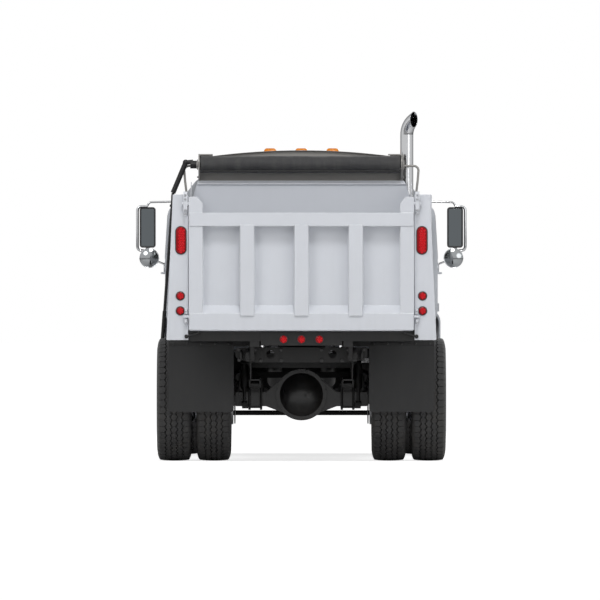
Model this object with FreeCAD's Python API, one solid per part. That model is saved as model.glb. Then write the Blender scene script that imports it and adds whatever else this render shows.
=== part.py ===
import FreeCAD, Part
import math
import os

Vec = FreeCAD.Vector

# A single-axle dump truck, in millimetres.
# The nose points to +Y, the truck's right side to +X, and it stands on Z = 0.
# The origin is midway between the bumper's face and the tailgate's rear face.

# Layout along the truck
front_overhang = 950.0        # bumper face to front axle
wheelbase = 3980.0
rear_overhang = 1370.0        # rear axle to the tailgate's rear face
nose_to_cab_back = 2840.0
cab_length = 1265.0
cab_to_bed = 210.0
hinge_inset = 245.0           # bed hinge ahead of the tailgate's rear face
frame_end_inset = 75.0        # frame end ahead of the bed hinge

overall_length = front_overhang + wheelbase + rear_overhang
nose_y = overall_length / 2
tail_y = -nose_y
front_axle_y = nose_y - front_overhang
rear_axle_y = front_axle_y - wheelbase
cab_back_y = nose_y - nose_to_cab_back
cab_front_y = cab_back_y + cab_length
bed_front_y = cab_back_y - cab_to_bed
hinge_y = tail_y + hinge_inset
frame_end_y = hinge_y + frame_end_inset

# Clearances
gap = 6.0                     # between a moving panel and its frame
seat_gap = 0.3                # between pieces of two bodies that rest on each other
pin_gap = 0.5                 # round a pin in its bore

# Tyres and wheels
tyre_radius = 522.5
tyre_width = 279.0
tread_width = 224.0
tyre_wall = 24.0
rim_radius = 285.7
rim_width = 220.0
rim_lip = 14.0
rim_wall = 13.0
disc_offset = 167.5           # disc face to the rim's middle
disc_thickness = 20.0
disc_bore = 110.0
disc_flat_radius = 185.0
hand_holes = 10
hand_hole_radius = 31.0
outer_tyre_x = 1077.5         # middle of the outer rear tyre
front_tyre_x = 1030.0
dual_spacing = 2 * disc_offset
inner_tyre_x = outer_tyre_x - dual_spacing
axle_z = tyre_radius
drum_radius = 214.0
drum_wall = 12.0
spindle_radius = 45.0

# Frame
frame_half = 432.0
rail_depth = 260.0
rail_flange = 80.0
rail_wall = 9.0
rail_top_z = 950.0
rail_front_inset = 250.0
rail_bottom_z = rail_top_z - rail_depth
rail_front_y = nose_y - rail_front_inset
rail_inner = frame_half - rail_wall
rail_mid = frame_half - rail_flange / 2

# Suspension
leaf_width = 76.0
leaf_thickness = 12.0
leaf_sag = 14.0
rear_leaves = 5
front_leaves = 4
rear_spring_half = 640.0
front_spring_half = 560.0
rear_tube_half = 60.0
axle_pad = 3.0
u_bolt_radius = 10.0

# Front axle and steering
kingpin_x = 900.0
kingpin_radius = 22.0
beam_half_width = 48.0
beam_height = 110.0
beam_seat_z = 590.0
beam_middle_z = 520.0
steering_arm = 190.0
tie_rod_z = 368.0
tie_rod_radius = 22.0

# Bed
bed_inner_half = 949.0
bed_plate = 8.0
floor_z = 1120.0              # top of the floor
liner_thickness = 20.0
sill_half_width = 40.0
side_top_z = 2236.0
headboard_top_z = 2400.0
headboard_corner = 54.0       # headboard's top corners inside the bed's width
headboard_depth = 46.0
post_foot_reach = 183.0       # post's outer edge beside the bed's inside
post_top_reach = 129.0
post_foot_z = 1029.0
post_top_z = 2250.0
post_depth = 140.0
post_inset = 50.0             # post face ahead of the tailgate's rear face
cross_sill_height = 50.0
hinge_z = 900.0
hinge_pin_radius = 25.0
hinge_eye_radius = 50.0

# Tailgate
gate_depth = 105.0
gate_bottom_z = 1113.0
gate_top_z = 2096.0
gate_post_top_z = 2230.0
gate_rail_z = 1984.0
gate_foot_rail_z = 1252.0
gate_shed_z = 1311.0
gate_stile = 115.0
gate_rib_half = 60.0
gate_rib_x = 455.0
gate_pin_z = 2170.0
gate_pin_radius = 15.0
gate_pin_inset = 30.0         # top pin ahead of the tailgate's rear face

# Hoist, from the bed hinge
hoist_x = 230.0
hoist_foot = (2750.0, -250.0)
hoist_head = (1150.0, 60.0)
hoist_barrel_radius = 65.0
hoist_rod_radius = 38.0

# Cab
cab_half = 1185.0
cab_foot_inset = 75.0         # from the cab's half width at its belt
cab_shoulder_inset = 35.0
cab_roof_inset = 185.0
cab_floor_z = 1000.0
cab_belt_z = 1750.0
cab_shoulder_z = 2280.0
cab_roof_z = 2632.0
cab_wall = 60.0
cowl_z = 1600.0
screen_top_inset = 385.0      # top of the windscreen behind its foot
screen_foot_side = 255.0      # windscreen's lower corners, from the cab's half width
screen_head_side = 165.0      # windscreen's upper corners, from the roof's half width
door_rear_inset = 330.0       # door's rear edge ahead of the cab's back
door_front_inset = 85.0       # door's front edge behind the cab's front
door_bottom_z = 1085.0
door_top_z = 2470.0
cab_foot_half = cab_half - cab_foot_inset
cab_shoulder_half = cab_half - cab_shoulder_inset
cab_roof_half = cab_half - cab_roof_inset
door_cut_in = cab_half - 385.0
door_cut_out = cab_half + 115.0
door_hinge_x = cab_half + 16.0
door_hinge_y = cab_front_y - door_front_inset
door_hinge_zs = (1300.0, 1640.0)
door_pin_radius = 6.0
door_knuckle_radius = 11.0
door_knuckle_half = 14.0
door_hinge_half = 36.0
door_leaf_root_x = cab_half - 50.0

# Hood and fenders
hood_wall = 14.0
hood_round = 120.0
fender_round = 124.0
hood_nose_inset = 150.0
fender_reach = 40.0           # beside the cab
fender_half = cab_half + fender_reach
fender_top_z = 1290.0
fender_foot_z = 640.0
arch_radius = 620.0
hood_rear_y = cab_front_y + 10.0
hood_front_y = nose_y - hood_nose_inset
hood_pivot = (nose_y - 90.0, 800.0)

# Bumper
bumper_end_inset = 10.0       # from the fenders' width
bumper_half = fender_half - bumper_end_inset
bumper_depth = 130.0
bumper_top_z = 760.0
bumper_foot_z = 470.0

# Exhaust
stack_inset = 270.0           # from the cab's half width
stack_x = cab_half - stack_inset
stack_radius = 57.0
tip_start_z = 2800.0
tip_bend = 150.0
tip_lean_deg = 55.0           # the tip's lean from upright
tip_way = (0.8, -0.6, 0.0)    # level direction the tip points
tip_reach = 76.0              # mouth beside the pipe's middle

# Mirrors
mirror_reach = 155.0          # mirror's middle beside the cab
mirror_z = 2001.0
mirror_half_width = 72.0
mirror_half_height = 178.0
mirror_loop_reach = 103.0     # from the mirror's middle
convex_inset = 7.0
convex_z = 1733.0
convex_radius = 87.0
mirror_tube = 10.0
mirror_inset = 408.0          # mirror arms behind the cab's front
mirror_x = cab_half + mirror_reach
mirror_loop_x = mirror_x + mirror_loop_reach
convex_x = mirror_x - convex_inset

# Bed details
bed_rear_y = tail_y + post_inset
headboard_rear_y = bed_front_y - headboard_depth
gate_front_y = tail_y + gate_depth
floor_rear_y = gate_front_y + gap
floor_bottom_z = floor_z - bed_plate
sill_bottom_z = rail_top_z + liner_thickness + seat_gap
side_rail_reach = 97.0        # beside the bed's inside
side_rib_reach = 103.0
side_rail_half = bed_inner_half + side_rail_reach
side_rib_half = bed_inner_half + side_rib_reach
post_foot_half = bed_inner_half + post_foot_reach
post_top_half = bed_inner_half + post_top_reach
headboard_top_half = bed_inner_half - headboard_corner
side_ribs = 5
latch_z = 1225.0

# Lamps of the bed
lamp_reach = 61.0             # oval lamp's middle beside the bed's inside
round_lamp_reach = 66.0
lamp_x = bed_inner_half + lamp_reach
lamp_z = 1865.0
round_lamp_x = bed_inner_half + round_lamp_reach
round_lamp_zs = (1399.0, 1274.0)
round_lamp_radius = 35.0
lamp_depth = 34.0
id_lamp_z = 1035.0
id_lamp_radius = 36.0

# Tarp roller
roller_z = 2538.0
roller_radius = 76.0
roller_y_inset = 100.0
roller_left_inset = 51.0      # roller's ends inside the bed's width
roller_right_inset = 67.0
roller_ends = (roller_left_inset - bed_inner_half, bed_inner_half - roller_right_inset)
deflector_half = headboard_top_half - 15.0
deflector_end_z = headboard_top_z + 198.0
deflector_crown_z = headboard_top_z + 263.0
crank_ball = (bed_inner_half + 53.0, roller_z + 18.0)
crank_bend = (bed_inner_half + 163.0, side_top_z + 57.0)
crank_grip = (bed_inner_half + 236.0, 1270.0)
crank_foot = (bed_inner_half + 254.0, 1018.0)

# Mud flaps
flap_inner = 571.0
flap_outer = 1122.0
flap_foot_z = 421.0
flap_top_z = 1022.0
flap_y = rear_axle_y - tyre_radius - 96


# Shapes

def point_in(plane, level, u, v):
    if plane == "x":
        return Vec(level, u, v)
    if plane == "y":
        return Vec(u, level, v)
    return Vec(u, v, level)


def corner(before, here, after, radius):
    """Tangent points and middle of the arc that rounds one corner of a path."""
    back = (before - here).normalize()
    ahead = (after - here).normalize()
    half = back.getAngle(ahead) / 2
    reach = radius / math.tan(half)
    inward = (back + ahead).normalize()
    middle = here + inward * (radius / math.sin(half) - radius)
    return here + back * reach, middle, here + ahead * reach


def outline(points, plane, level=0.0):
    """Closed wire through (u, v) or (u, v, corner radius) points."""
    spots = [point_in(plane, level, p[0], p[1]) for p in points]
    ends = []
    count = len(points)
    for i, p in enumerate(points):
        if len(p) > 2:
            ends.append(corner(spots[i - 1], spots[i], spots[(i + 1) % count], p[2]))
        else:
            ends.append((spots[i], None, spots[i]))
    edges = []
    for i, (start, middle, end) in enumerate(ends):
        if middle is not None:
            edges.append(Part.Arc(start, middle, end).toShape())
        onward = ends[(i + 1) % count][0]
        if (onward - end).Length > 1e-6:
            edges.append(Part.LineSegment(end, onward).toShape())
    return Part.Wire(edges)


def prism(points, plane, low, high):
    """Solid between two levels along X, Y or Z with one outline."""
    step = point_in(plane, high - low, 0, 0)
    return Part.Face(outline(points, plane, low)).extrude(step)


def block(x0, x1, y0, y1, z0, z1):
    low = Vec(min(x0, x1), min(y0, y1), min(z0, z1))
    return Part.makeBox(abs(x1 - x0), abs(y1 - y0), abs(z1 - z0), low)


def rod_between(start, end, radius):
    way = end - start
    return Part.makeCylinder(radius, way.Length, start, way)


def rod_x(x0, x1, y, z, radius):
    return rod_between(Vec(x0, y, z), Vec(x1, y, z), radius)


def rod_y(y0, y1, x, z, radius):
    return rod_between(Vec(x, y0, z), Vec(x, y1, z), radius)


def rod_z(z0, z1, x, y, radius):
    return rod_between(Vec(x, y, z0), Vec(x, y, z1), radius)


def turned(profile, y, z):
    """Solid of revolution about the line along X through y, z."""
    spots = [(p[0], z + p[1]) + tuple(p[2:]) for p in profile]
    face = Part.Face(outline(spots, "y", y))
    return face.revolve(Vec(0, y, z), Vec(1, 0, 0), 360)


def bent_rod(points, radius, bend):
    """Round bar along straight runs joined by arcs."""
    edges = []
    start = points[0]
    for i in range(1, len(points) - 1):
        near, middle, far = corner(points[i - 1], points[i], points[i + 1], bend)
        edges.append(Part.LineSegment(start, near).toShape())
        edges.append(Part.Arc(near, middle, far).toShape())
        start = far
    edges.append(Part.LineSegment(start, points[-1]).toShape())
    ring = Part.Wire(Part.makeCircle(radius, points[0], points[1] - points[0]))
    return Part.Wire(edges).makePipeShell([ring], True, True)


def fused(first, *others):
    if not others:
        return first
    return first.fuse(list(others)).removeSplitter()


def mirrored(shape):
    return shape.mirror(Vec(0, 0, 0), Vec(1, 0, 0))


def both_sides(shape):
    return [shape, mirrored(shape)]


# Frame

def frame_rail():
    flange_x = frame_half - rail_flange
    section = [
        (frame_half, rail_bottom_z, 12), (frame_half, rail_top_z, 12),
        (flange_x, rail_top_z), (flange_x, rail_top_z - rail_wall),
        (rail_inner, rail_top_z - rail_wall), (rail_inner, rail_bottom_z + rail_wall),
        (flange_x, rail_bottom_z + rail_wall), (flange_x, rail_bottom_z),
    ]
    return prism(section, "y", frame_end_y, rail_front_y)


def crossmember(y, width, low, high):
    """Channel between the rails' webs, open to the front."""
    wall = 8.0
    section = [
        (y, low), (y + width, low), (y + width, low + wall), (y + wall, low + wall),
        (y + wall, high - wall), (y + width, high - wall), (y + width, high), (y, high),
    ]
    return prism(section, "x", -rail_inner, rail_inner)


def crossmembers():
    low = rail_bottom_z + 40
    high = rail_top_z - 40
    front = crossmember(rail_front_y - 120, 80, rail_bottom_z + rail_wall, rail_bottom_z + 90)
    gearbox = crossmember(cab_back_y + 330, 70, high - 40, high + 30)
    before_axle = crossmember(rear_axle_y + 640, 80, rail_bottom_z + rail_wall, rail_bottom_z + 60)
    above_axle = crossmember(rear_axle_y - 300, 80, low + 60, high)
    foot_y = hinge_y + hoist_foot[0]
    foot_z = hinge_z + hoist_foot[1]
    hoist_beam = block(-rail_inner, rail_inner, foot_y - 55, foot_y + 55, rail_bottom_z + 50, high)
    ears = []
    for side in (-1, 1):
        for face in (hoist_x - 34, hoist_x + 34):
            outward = 12 if face > hoist_x else -12
            ear = prism([
                (foot_y - 55, rail_bottom_z + 50), (foot_y - 48, foot_z - 48, 46),
                (foot_y + 48, foot_z - 48, 46), (foot_y + 55, rail_bottom_z + 50),
            ], "x", side * face, side * (face + outward))
            ears.append(ear)
        pin = rod_x(side * (hoist_x - 50), side * (hoist_x + 50), foot_y, foot_z, 24)
        ears.append(pin)
    return [front, gearbox, before_axle, above_axle, fused(hoist_beam, *ears)]


def sill_liners():
    """Hardwood strips on the rails, under the bed's sills."""
    strip = prism([
        (rail_mid - 36, rail_top_z), (rail_mid + 36, rail_top_z),
        (rail_mid + 36, rail_top_z + liner_thickness, 4),
        (rail_mid - 36, rail_top_z + liner_thickness, 4),
    ], "y", frame_end_y + 10, bed_front_y - 60)
    return both_sides(strip)


def rear_plate():
    """Plate across the frame's end, with hinge lugs and tow rings."""
    thickness = 12.0
    half = 554.0
    top = rail_top_z + 18
    bottom = rail_bottom_z + 150
    plate = prism([
        (-half, top, 20), (half, top, 20), (half, bottom + 40, 30), (half - 120, bottom, 40),
        (-half + 120, bottom, 40), (-half, bottom + 40, 30),
    ], "y", frame_end_y - thickness, frame_end_y)
    for side in (-1, 1):
        plate = plate.cut(rod_y(frame_end_y - 20, frame_end_y + 5, side * 262, 908, 34))
    adds = []
    for side in (-1, 1):
        lug = prism([
            (frame_end_y - thickness, top - 10),
            (frame_end_y - thickness, hinge_z - hinge_eye_radius),
            (hinge_y - hinge_eye_radius, hinge_z - hinge_eye_radius, 40),
            (hinge_y - hinge_eye_radius, hinge_z + hinge_eye_radius, 40),
        ], "x", side * (frame_half + 3), side * (frame_half + 35))
        pin = rod_x(side * (frame_half - 44), side * (frame_half + 43), hinge_y, hinge_z,
                    hinge_pin_radius)
        eye_y = frame_end_y - thickness - 34
        ring = Part.makeTorus(34, 11, Vec(side * 505, eye_y, 902), Vec(1, 0, 0))
        staple = block(side * 492, side * 518, frame_end_y - thickness, frame_end_y - thickness - 16,
                       880, 924)
        adds += [lug, pin, ring, staple]
    return fused(plate, *adds)


# Suspension

def leaf(y, bottom_z, half_length, count_up):
    """One leaf: an arc band that sags towards its middle."""
    sag_radius = (rear_spring_half ** 2 + leaf_sag ** 2) / (2 * leaf_sag)
    inner = sag_radius - count_up * leaf_thickness
    outer = inner + leaf_thickness
    centre_z = bottom_z + sag_radius
    band = Part.Face(Part.Wire([
        arc_edge(y, centre_z, outer, half_length), arc_end(y, centre_z, inner, outer, half_length),
        arc_edge(y, centre_z, inner, half_length), arc_end(y, centre_z, inner, outer, -half_length),
    ]))
    return band.extrude(Vec(leaf_width, 0, 0))


def arc_spot(y, centre_z, radius, reach):
    level = rail_mid - leaf_width / 2
    return Vec(level, y + reach, centre_z - math.sqrt(radius ** 2 - reach ** 2))


def arc_edge(y, centre_z, radius, half_length):
    return Part.Arc(arc_spot(y, centre_z, radius, -half_length), arc_spot(y, centre_z, radius, 0),
                    arc_spot(y, centre_z, radius, half_length)).toShape()


def arc_end(y, centre_z, inner, outer, reach):
    return Part.LineSegment(arc_spot(y, centre_z, inner, reach),
                            arc_spot(y, centre_z, outer, reach)).toShape()


def leaf_spring(y, seat_z, half_length, leaves, tube_half, plate_z):
    """Leaf pack with its eyes, hangers on the rail, saddle, U-bolts and bottom plate."""
    inner_x = rail_mid - leaf_width / 2
    outer_x = rail_mid + leaf_width / 2
    parts = []
    for i in range(leaves):
        share = 0.3 + 0.7 * (i + 1) / leaves
        parts.append(leaf(y, seat_z, half_length * share, i + 1))
    top_z = seat_z + leaves * leaf_thickness
    eye_z = top_z + leaf_sag * (half_length / rear_spring_half) ** 2 - leaf_thickness / 2
    for end in (-1, 1):
        eye_y = y + end * half_length
        parts.append(rod_x(inner_x, outer_x, eye_y, eye_z, 18))
        hanger = prism([
            (eye_y - 60, rail_bottom_z), (eye_y - 26, eye_z - 26, 20), (eye_y + 26, eye_z - 26, 20),
            (eye_y + 60, rail_bottom_z),
        ], "x", inner_x - 12, outer_x + 12)
        slot = block(inner_x, outer_x, eye_y - 70, eye_y + 70, 0, rail_bottom_z - 7)
        parts.append(hanger.cut(slot))
    saddle = block(inner_x - 22, outer_x + 22, y - tube_half - 24, y + tube_half + 24,
                   top_z, top_z + 12)
    plate = block(inner_x - 22, outer_x + 22, y - tube_half - 24, y + tube_half + 24,
                  plate_z - 16, plate_z)
    parts += [saddle, plate]
    for x in (inner_x - u_bolt_radius - 1, outer_x + u_bolt_radius + 1):
        for end in (-1, 1):
            leg_y = y + end * (tube_half + u_bolt_radius + 2)
            parts.append(rod_z(plate_z - 30, top_z + 24, x, leg_y, u_bolt_radius))
    return fused(*parts)


def leaf_springs():
    rear_seat_z = axle_z + rear_tube_half + axle_pad
    rear = leaf_spring(rear_axle_y, rear_seat_z, rear_spring_half, rear_leaves, rear_tube_half,
                       axle_z - rear_tube_half)
    front = leaf_spring(front_axle_y, beam_seat_z, front_spring_half, front_leaves, beam_half_width,
                        beam_seat_z - beam_height)
    return both_sides(rear) + both_sides(front)


def shock_absorber(axle_y, tube_half, foot_z):
    """Damper beside the spring, from its bottom plate to a stud on the rail's web."""
    x = frame_half + 52
    top_z = rail_top_z - 120
    y = axle_y - tube_half - 44
    body = rod_z(foot_z + 130, top_z - 8, x, y, 34)
    rod = rod_z(foot_z, foot_z + 130, x, y, 13)
    low_eye = rod_x(x - 24, x + 24, y, foot_z, 24)
    high_eye = rod_x(frame_half, x + 26, y, top_z, 24)
    foot = block(rail_mid + leaf_width / 2 + 22, x + 20, y - 22, axle_y - tube_half - 2,
                 foot_z - 40, foot_z - 10)
    return fused(body, rod, low_eye, high_eye, foot)


def shock_absorbers():
    rear_foot = axle_z - rear_tube_half + 22
    front_foot = beam_seat_z - beam_height + 22
    return (both_sides(shock_absorber(rear_axle_y, rear_tube_half, rear_foot))
            + both_sides(shock_absorber(front_axle_y, beam_half_width, front_foot)))


# Axles

def rear_axle():
    """Banjo housing with its round cover, pinion nose, brake backing plates and spindles."""
    bowl_radius = 208.0
    bowl = rod_y(rear_axle_y - 70, rear_axle_y + 95, 0, axle_z + 38, bowl_radius)
    dome = Part.makeSphere(230.0, Vec(0, rear_axle_y + 55, axle_z + 38))
    dome = dome.common(block(-300, 300, rear_axle_y - 260, rear_axle_y - 60, 200, 900))
    flange = rod_y(rear_axle_y - 84, rear_axle_y - 66, 0, axle_z + 38, bowl_radius + 10)
    nose = Part.makeCone(130, 62, 220, Vec(0, rear_axle_y + 90, axle_z + 38), Vec(0, 1, 0))
    tube = prism([
        (-spindle_start(), axle_z - rear_tube_half, 10), (-spindle_start(), axle_z + rear_tube_half, 10),
        (-300, axle_z + rear_tube_half, 60), (-170, axle_z + 170, 60),
        (170, axle_z + 170, 60), (300, axle_z + rear_tube_half, 60),
        (spindle_start(), axle_z + rear_tube_half, 10), (spindle_start(), axle_z - rear_tube_half, 10),
        (300, axle_z - rear_tube_half, 60), (170, axle_z - 110, 60),
        (-170, axle_z - 110, 60), (-300, axle_z - rear_tube_half, 60),
    ], "y", rear_axle_y - rear_tube_half, rear_axle_y + rear_tube_half)
    parts = [bowl, dome, flange, nose, tube]
    for side in (-1, 1):
        pad = block(side * (rail_mid - 44), side * (rail_mid + 44), rear_axle_y - rear_tube_half,
                    rear_axle_y + rear_tube_half, axle_z + rear_tube_half - 10,
                    axle_z + rear_tube_half + axle_pad)
        backing = rod_x(side * spindle_start(), side * (spindle_start() + 10), rear_axle_y, axle_z,
                        drum_radius - 6)
        spindle = rod_x(side * spindle_start(), side * spindle_end(), rear_axle_y, axle_z,
                        spindle_radius)
        parts += [pad, backing, spindle]
    return fused(*parts)


def spindle_start():
    return inner_tyre_x - 182


def spindle_end():
    return outer_tyre_x - 92


def front_axle():
    """Drop beam with an I section, spring seats and kingpin bosses."""
    seat_in = rail_mid - 80
    seat_out = rail_mid + 50
    low_z = beam_middle_z - beam_height
    seat_low_z = beam_seat_z - beam_height
    top = [(0, beam_middle_z), (seat_in - 110, beam_middle_z, 80), (seat_in, beam_seat_z, 30),
           (seat_out, beam_seat_z, 30), (kingpin_x, axle_z + 48)]
    foot = [(kingpin_x, axle_z - 48), (seat_out + 60, seat_low_z, 80), (seat_in, seat_low_z, 60),
            (seat_in - 110, low_z, 80), (0, low_z)]
    half = prism(top + foot, "y", front_axle_y - beam_half_width, front_axle_y + beam_half_width)
    web_top = [(0, beam_middle_z - 20), (seat_in - 106, beam_middle_z - 20),
               (seat_in, beam_seat_z - 20), (seat_out, beam_seat_z - 20), (kingpin_x - 60, axle_z + 30)]
    web_foot = [(kingpin_x - 60, axle_z - 26), (seat_out + 60, seat_low_z + 20),
                (seat_in, seat_low_z + 20), (seat_in - 100, low_z + 20), (0, low_z + 20)]
    for low, high in ((-beam_half_width, -12), (12, beam_half_width)):
        recess = prism(web_top + web_foot, "y", front_axle_y + low, front_axle_y + high)
        half = half.cut(recess)
    boss = rod_z(axle_z - 74, axle_z + 74, kingpin_x, front_axle_y, beam_half_width)
    half = fused(half, boss)
    bore = rod_z(axle_z - 80, axle_z + 80, kingpin_x, front_axle_y, kingpin_radius + seat_gap)
    half = half.cut(bore)
    return fused(half, mirrored(half))


def knuckle():
    """Right steering knuckle: yoke, kingpin, backing plate, spindle and tie rod arm."""
    reach = 78.0
    upper = rod_z(axle_z + 74 + seat_gap, axle_z + 118, kingpin_x, front_axle_y, 46)
    lower = rod_z(axle_z - 118, axle_z - 74 - seat_gap, kingpin_x, front_axle_y, 46)
    kingpin = rod_z(axle_z - 118, axle_z + 118, kingpin_x, front_axle_y, kingpin_radius)
    upper_arm = block(kingpin_x, kingpin_x + reach, front_axle_y - 46, front_axle_y + 46,
                      axle_z + 74 + seat_gap, axle_z + 118)
    lower_arm = block(kingpin_x, kingpin_x + reach, front_axle_y - 46, front_axle_y + 46,
                      axle_z - 118, axle_z - 74 - seat_gap)
    back = block(kingpin_x + 54, kingpin_x + reach, front_axle_y - 46, front_axle_y + 46,
                 axle_z - 118, axle_z + 118)
    backing = rod_x(kingpin_x + reach - 10, kingpin_x + reach, front_axle_y, axle_z, drum_radius - 8)
    spindle = turned([
        (kingpin_x + reach, 0), (kingpin_x + reach, 50), (kingpin_x + reach + 60, spindle_radius),
        (front_tyre_x + 130, spindle_radius), (front_tyre_x + 130, 0),
    ], front_axle_y, axle_z)
    arm = prism([
        (kingpin_x - 26, front_axle_y, 20), (kingpin_x - 26, front_axle_y - steering_arm - 26, 24),
        (kingpin_x + 26, front_axle_y - steering_arm - 26, 24), (kingpin_x + 30, front_axle_y, 20),
    ], "z", axle_z - 118, axle_z - 92)
    stud = rod_z(tie_rod_z - 12, axle_z - 110, kingpin_x, front_axle_y - steering_arm, 9)
    return fused(upper, lower, kingpin, upper_arm, lower_arm, back, backing, spindle, arm, stud)


def tie_rod():
    """Tube between the two arms, with an end round each ball stud."""
    y = front_axle_y - steering_arm
    tube = rod_x(-kingpin_x + 40, kingpin_x - 40, y, tie_rod_z, tie_rod_radius)
    parts = [tube]
    for side in (-1, 1):
        parts.append(rod_x(side * (kingpin_x - 20), side * (kingpin_x - 150), y, tie_rod_z,
                           tie_rod_radius + 6))
    body = fused(*parts)
    for side in (-1, 1):
        end = rod_z(tie_rod_z - 20, tie_rod_z + 6, side * kingpin_x, y, 27)
        body = fused(body, end)
        body = body.cut(rod_z(tie_rod_z - 13, tie_rod_z + 40, side * kingpin_x, y, 9 + pin_gap))
    return body


# Wheels

def tyre(x, y):
    """Open carcass that sits on the rim's two seats."""
    half = tyre_width / 2
    tread = tread_width / 2
    bead = rim_width / 2
    foot = rim_radius + 0.2
    profile = [
        (-bead + 2, foot), (-bead + 2, foot + 16, 8), (-half, foot + 84, 60), (-half, tyre_radius - 80, 50),
        (-tread - 3, tyre_radius - 4, 14), (0, tyre_radius), (tread + 3, tyre_radius - 4, 14),
        (half, tyre_radius - 80, 50), (half, foot + 84, 60), (bead - 2, foot + 16, 8), (bead - 2, foot),
        (bead - 30, foot), (bead - 30, foot + 12, 8),
        (half - tyre_wall, foot + 94, 40), (half - tyre_wall, tyre_radius - 94, 40),
        (tread - 20, tyre_radius - 40, 14), (-tread + 20, tyre_radius - 40, 14),
        (-half + tyre_wall, tyre_radius - 94, 40), (-half + tyre_wall, foot + 94, 40),
        (-bead + 30, foot + 12, 8), (-bead + 30, foot),
    ]
    moved = [(p[0] + x,) + tuple(p[1:]) for p in profile]
    return turned(moved, y, axle_z)


def rim(x, y, face):
    """One wheel: barrel with lips, and a dished disc whose flat faces the given way."""
    half = rim_width / 2
    barrel = [
        (-half - 8, rim_radius + rim_lip, 3), (-half, rim_radius + rim_lip, 3), (-half, rim_radius),
        (-half + 34, rim_radius), (-half + 60, rim_radius - 8), (half - 60, rim_radius - 8),
        (half - 34, rim_radius), (half, rim_radius), (half, rim_radius + rim_lip, 3),
        (half + 8, rim_radius + rim_lip, 3), (half + 8, rim_radius - 5), (half - 20, rim_radius - rim_wall),
        (half - 60, rim_radius - 8 - rim_wall), (-half + 60, rim_radius - 8 - rim_wall),
        (-half + 20, rim_radius - rim_wall), (-half - 8, rim_radius - 5),
    ]
    flat = disc_offset
    depth = disc_thickness
    bowl_foot = half - 70
    disc = [
        (flat, disc_bore), (flat, disc_flat_radius, 30), (bowl_foot + depth, rim_radius - 14, 20),
        (bowl_foot - 10, rim_radius - 14), (bowl_foot - 10, rim_radius - 30, 12),
        (flat - depth, disc_flat_radius - 14, 20), (flat - depth, disc_bore),
    ]
    barrel_at = [(p[0] + x,) + tuple(p[1:]) for p in barrel]
    disc_at = [(x + face * p[0],) + tuple(p[1:]) for p in disc]
    wheel = turned(barrel_at, y, axle_z).fuse(turned(disc_at, y, axle_z))
    ring = (disc_flat_radius + rim_radius) / 2 - 4
    for i in range(hand_holes):
        turn = 2 * math.pi * (i + 0.5) / hand_holes
        hole_y = y + ring * math.cos(turn)
        hole_z = axle_z + ring * math.sin(turn)
        wheel = wheel.cut(rod_x(x, x + face * (flat + 10), hole_y, hole_z, hand_hole_radius))
    return wheel.removeSplitter()


def drum_and_hub(profile_drum, profile_hub, y):
    return turned(profile_drum, y, axle_z).fuse(turned(profile_hub, y, axle_z))


def rear_wheels():
    """Twin wheels on one side, bolted face to face on the hub's flange outside the drum."""
    joint_x = (outer_tyre_x + inner_tyre_x) / 2
    flange_x = joint_x - disc_thickness
    drum_in = spindle_start() + 18
    drum = [
        (drum_in, drum_radius), (flange_x, drum_radius, 12), (flange_x, spindle_radius + 20),
        (flange_x - 14, spindle_radius + 20), (flange_x - 14, drum_radius - drum_wall),
        (drum_in, drum_radius - drum_wall),
    ]
    end_x = spindle_end() + 6
    hub = [
        (flange_x - 160, spindle_radius + seat_gap), (flange_x - 160, 82, 10), (flange_x - 14, 92),
        (flange_x - 14, disc_flat_radius - 14), (flange_x, disc_flat_radius - 14),
        (flange_x, disc_bore - seat_gap), (end_x - 4, disc_bore - 14, 10), (end_x + 16, disc_bore - 14, 8),
        (end_x + 28, 62, 8), (end_x + 46, 52, 10), (end_x + 46, 0), (end_x, 0),
        (end_x, spindle_radius + seat_gap),
    ]
    wheels = drum_and_hub(drum, hub, rear_axle_y)
    outer = rim(outer_tyre_x, rear_axle_y, -1)
    inner = rim(inner_tyre_x, rear_axle_y, 1)
    return wheels.fuse([outer, inner])


def front_wheel():
    """Front wheel with its disc outside, on the hub's flange outside the drum."""
    flange_x = front_tyre_x + disc_offset - disc_thickness
    drum_in = kingpin_x + 88
    drum = [
        (drum_in, drum_radius), (flange_x, drum_radius, 12), (flange_x, spindle_radius + 20),
        (flange_x - 14, spindle_radius + 20), (flange_x - 14, drum_radius - drum_wall),
        (drum_in, drum_radius - drum_wall),
    ]
    end_x = front_tyre_x + 136
    hub = [
        (flange_x - 130, spindle_radius + seat_gap), (flange_x - 130, 74, 8), (flange_x - 14, 92),
        (flange_x - 14, disc_flat_radius - 14), (flange_x, disc_flat_radius - 14),
        (flange_x, disc_bore - seat_gap), (end_x + 30, disc_bore - 20, 10), (end_x + 50, 72, 12),
        (end_x + 50, 0), (end_x, 0), (end_x, spindle_radius + seat_gap),
    ]
    return drum_and_hub(drum, hub, front_axle_y).fuse(rim(front_tyre_x, front_axle_y, 1))


# Drive line, tanks and exhaust

def engine():
    """Engine and gearbox as plain blocks at their real size."""
    block_front = hood_front_y - 330
    motor = prism([
        (-190, 585, 40), (-290, 760, 40), (-290, 1390, 60), (290, 1390, 60), (290, 760, 40), (190, 585, 40),
    ], "y", cab_front_y + 40, block_front)
    gearbox = prism([
        (-150, 610, 50), (-190, 800, 40), (-150, 935, 30), (150, 935, 30), (190, 800, 40), (150, 610, 50),
    ], "y", cab_back_y + 460, cab_front_y + 40)
    return fused(motor, gearbox)


def radiator():
    """Core with side tanks, standing on the front crossmember."""
    back = hood_front_y - 290
    core = block(-300, 300, back, back + 50, rail_bottom_z + 90, 1330)
    tanks = [block(side * 290, side * 340, back - 14, back + 64, rail_bottom_z + 110, 1310)
             for side in (-1, 1)]
    foot = block(-300, 300, back - 10, back + 160, rail_bottom_z + 90, rail_bottom_z + 110)
    return fused(core, foot, *tanks)


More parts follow.
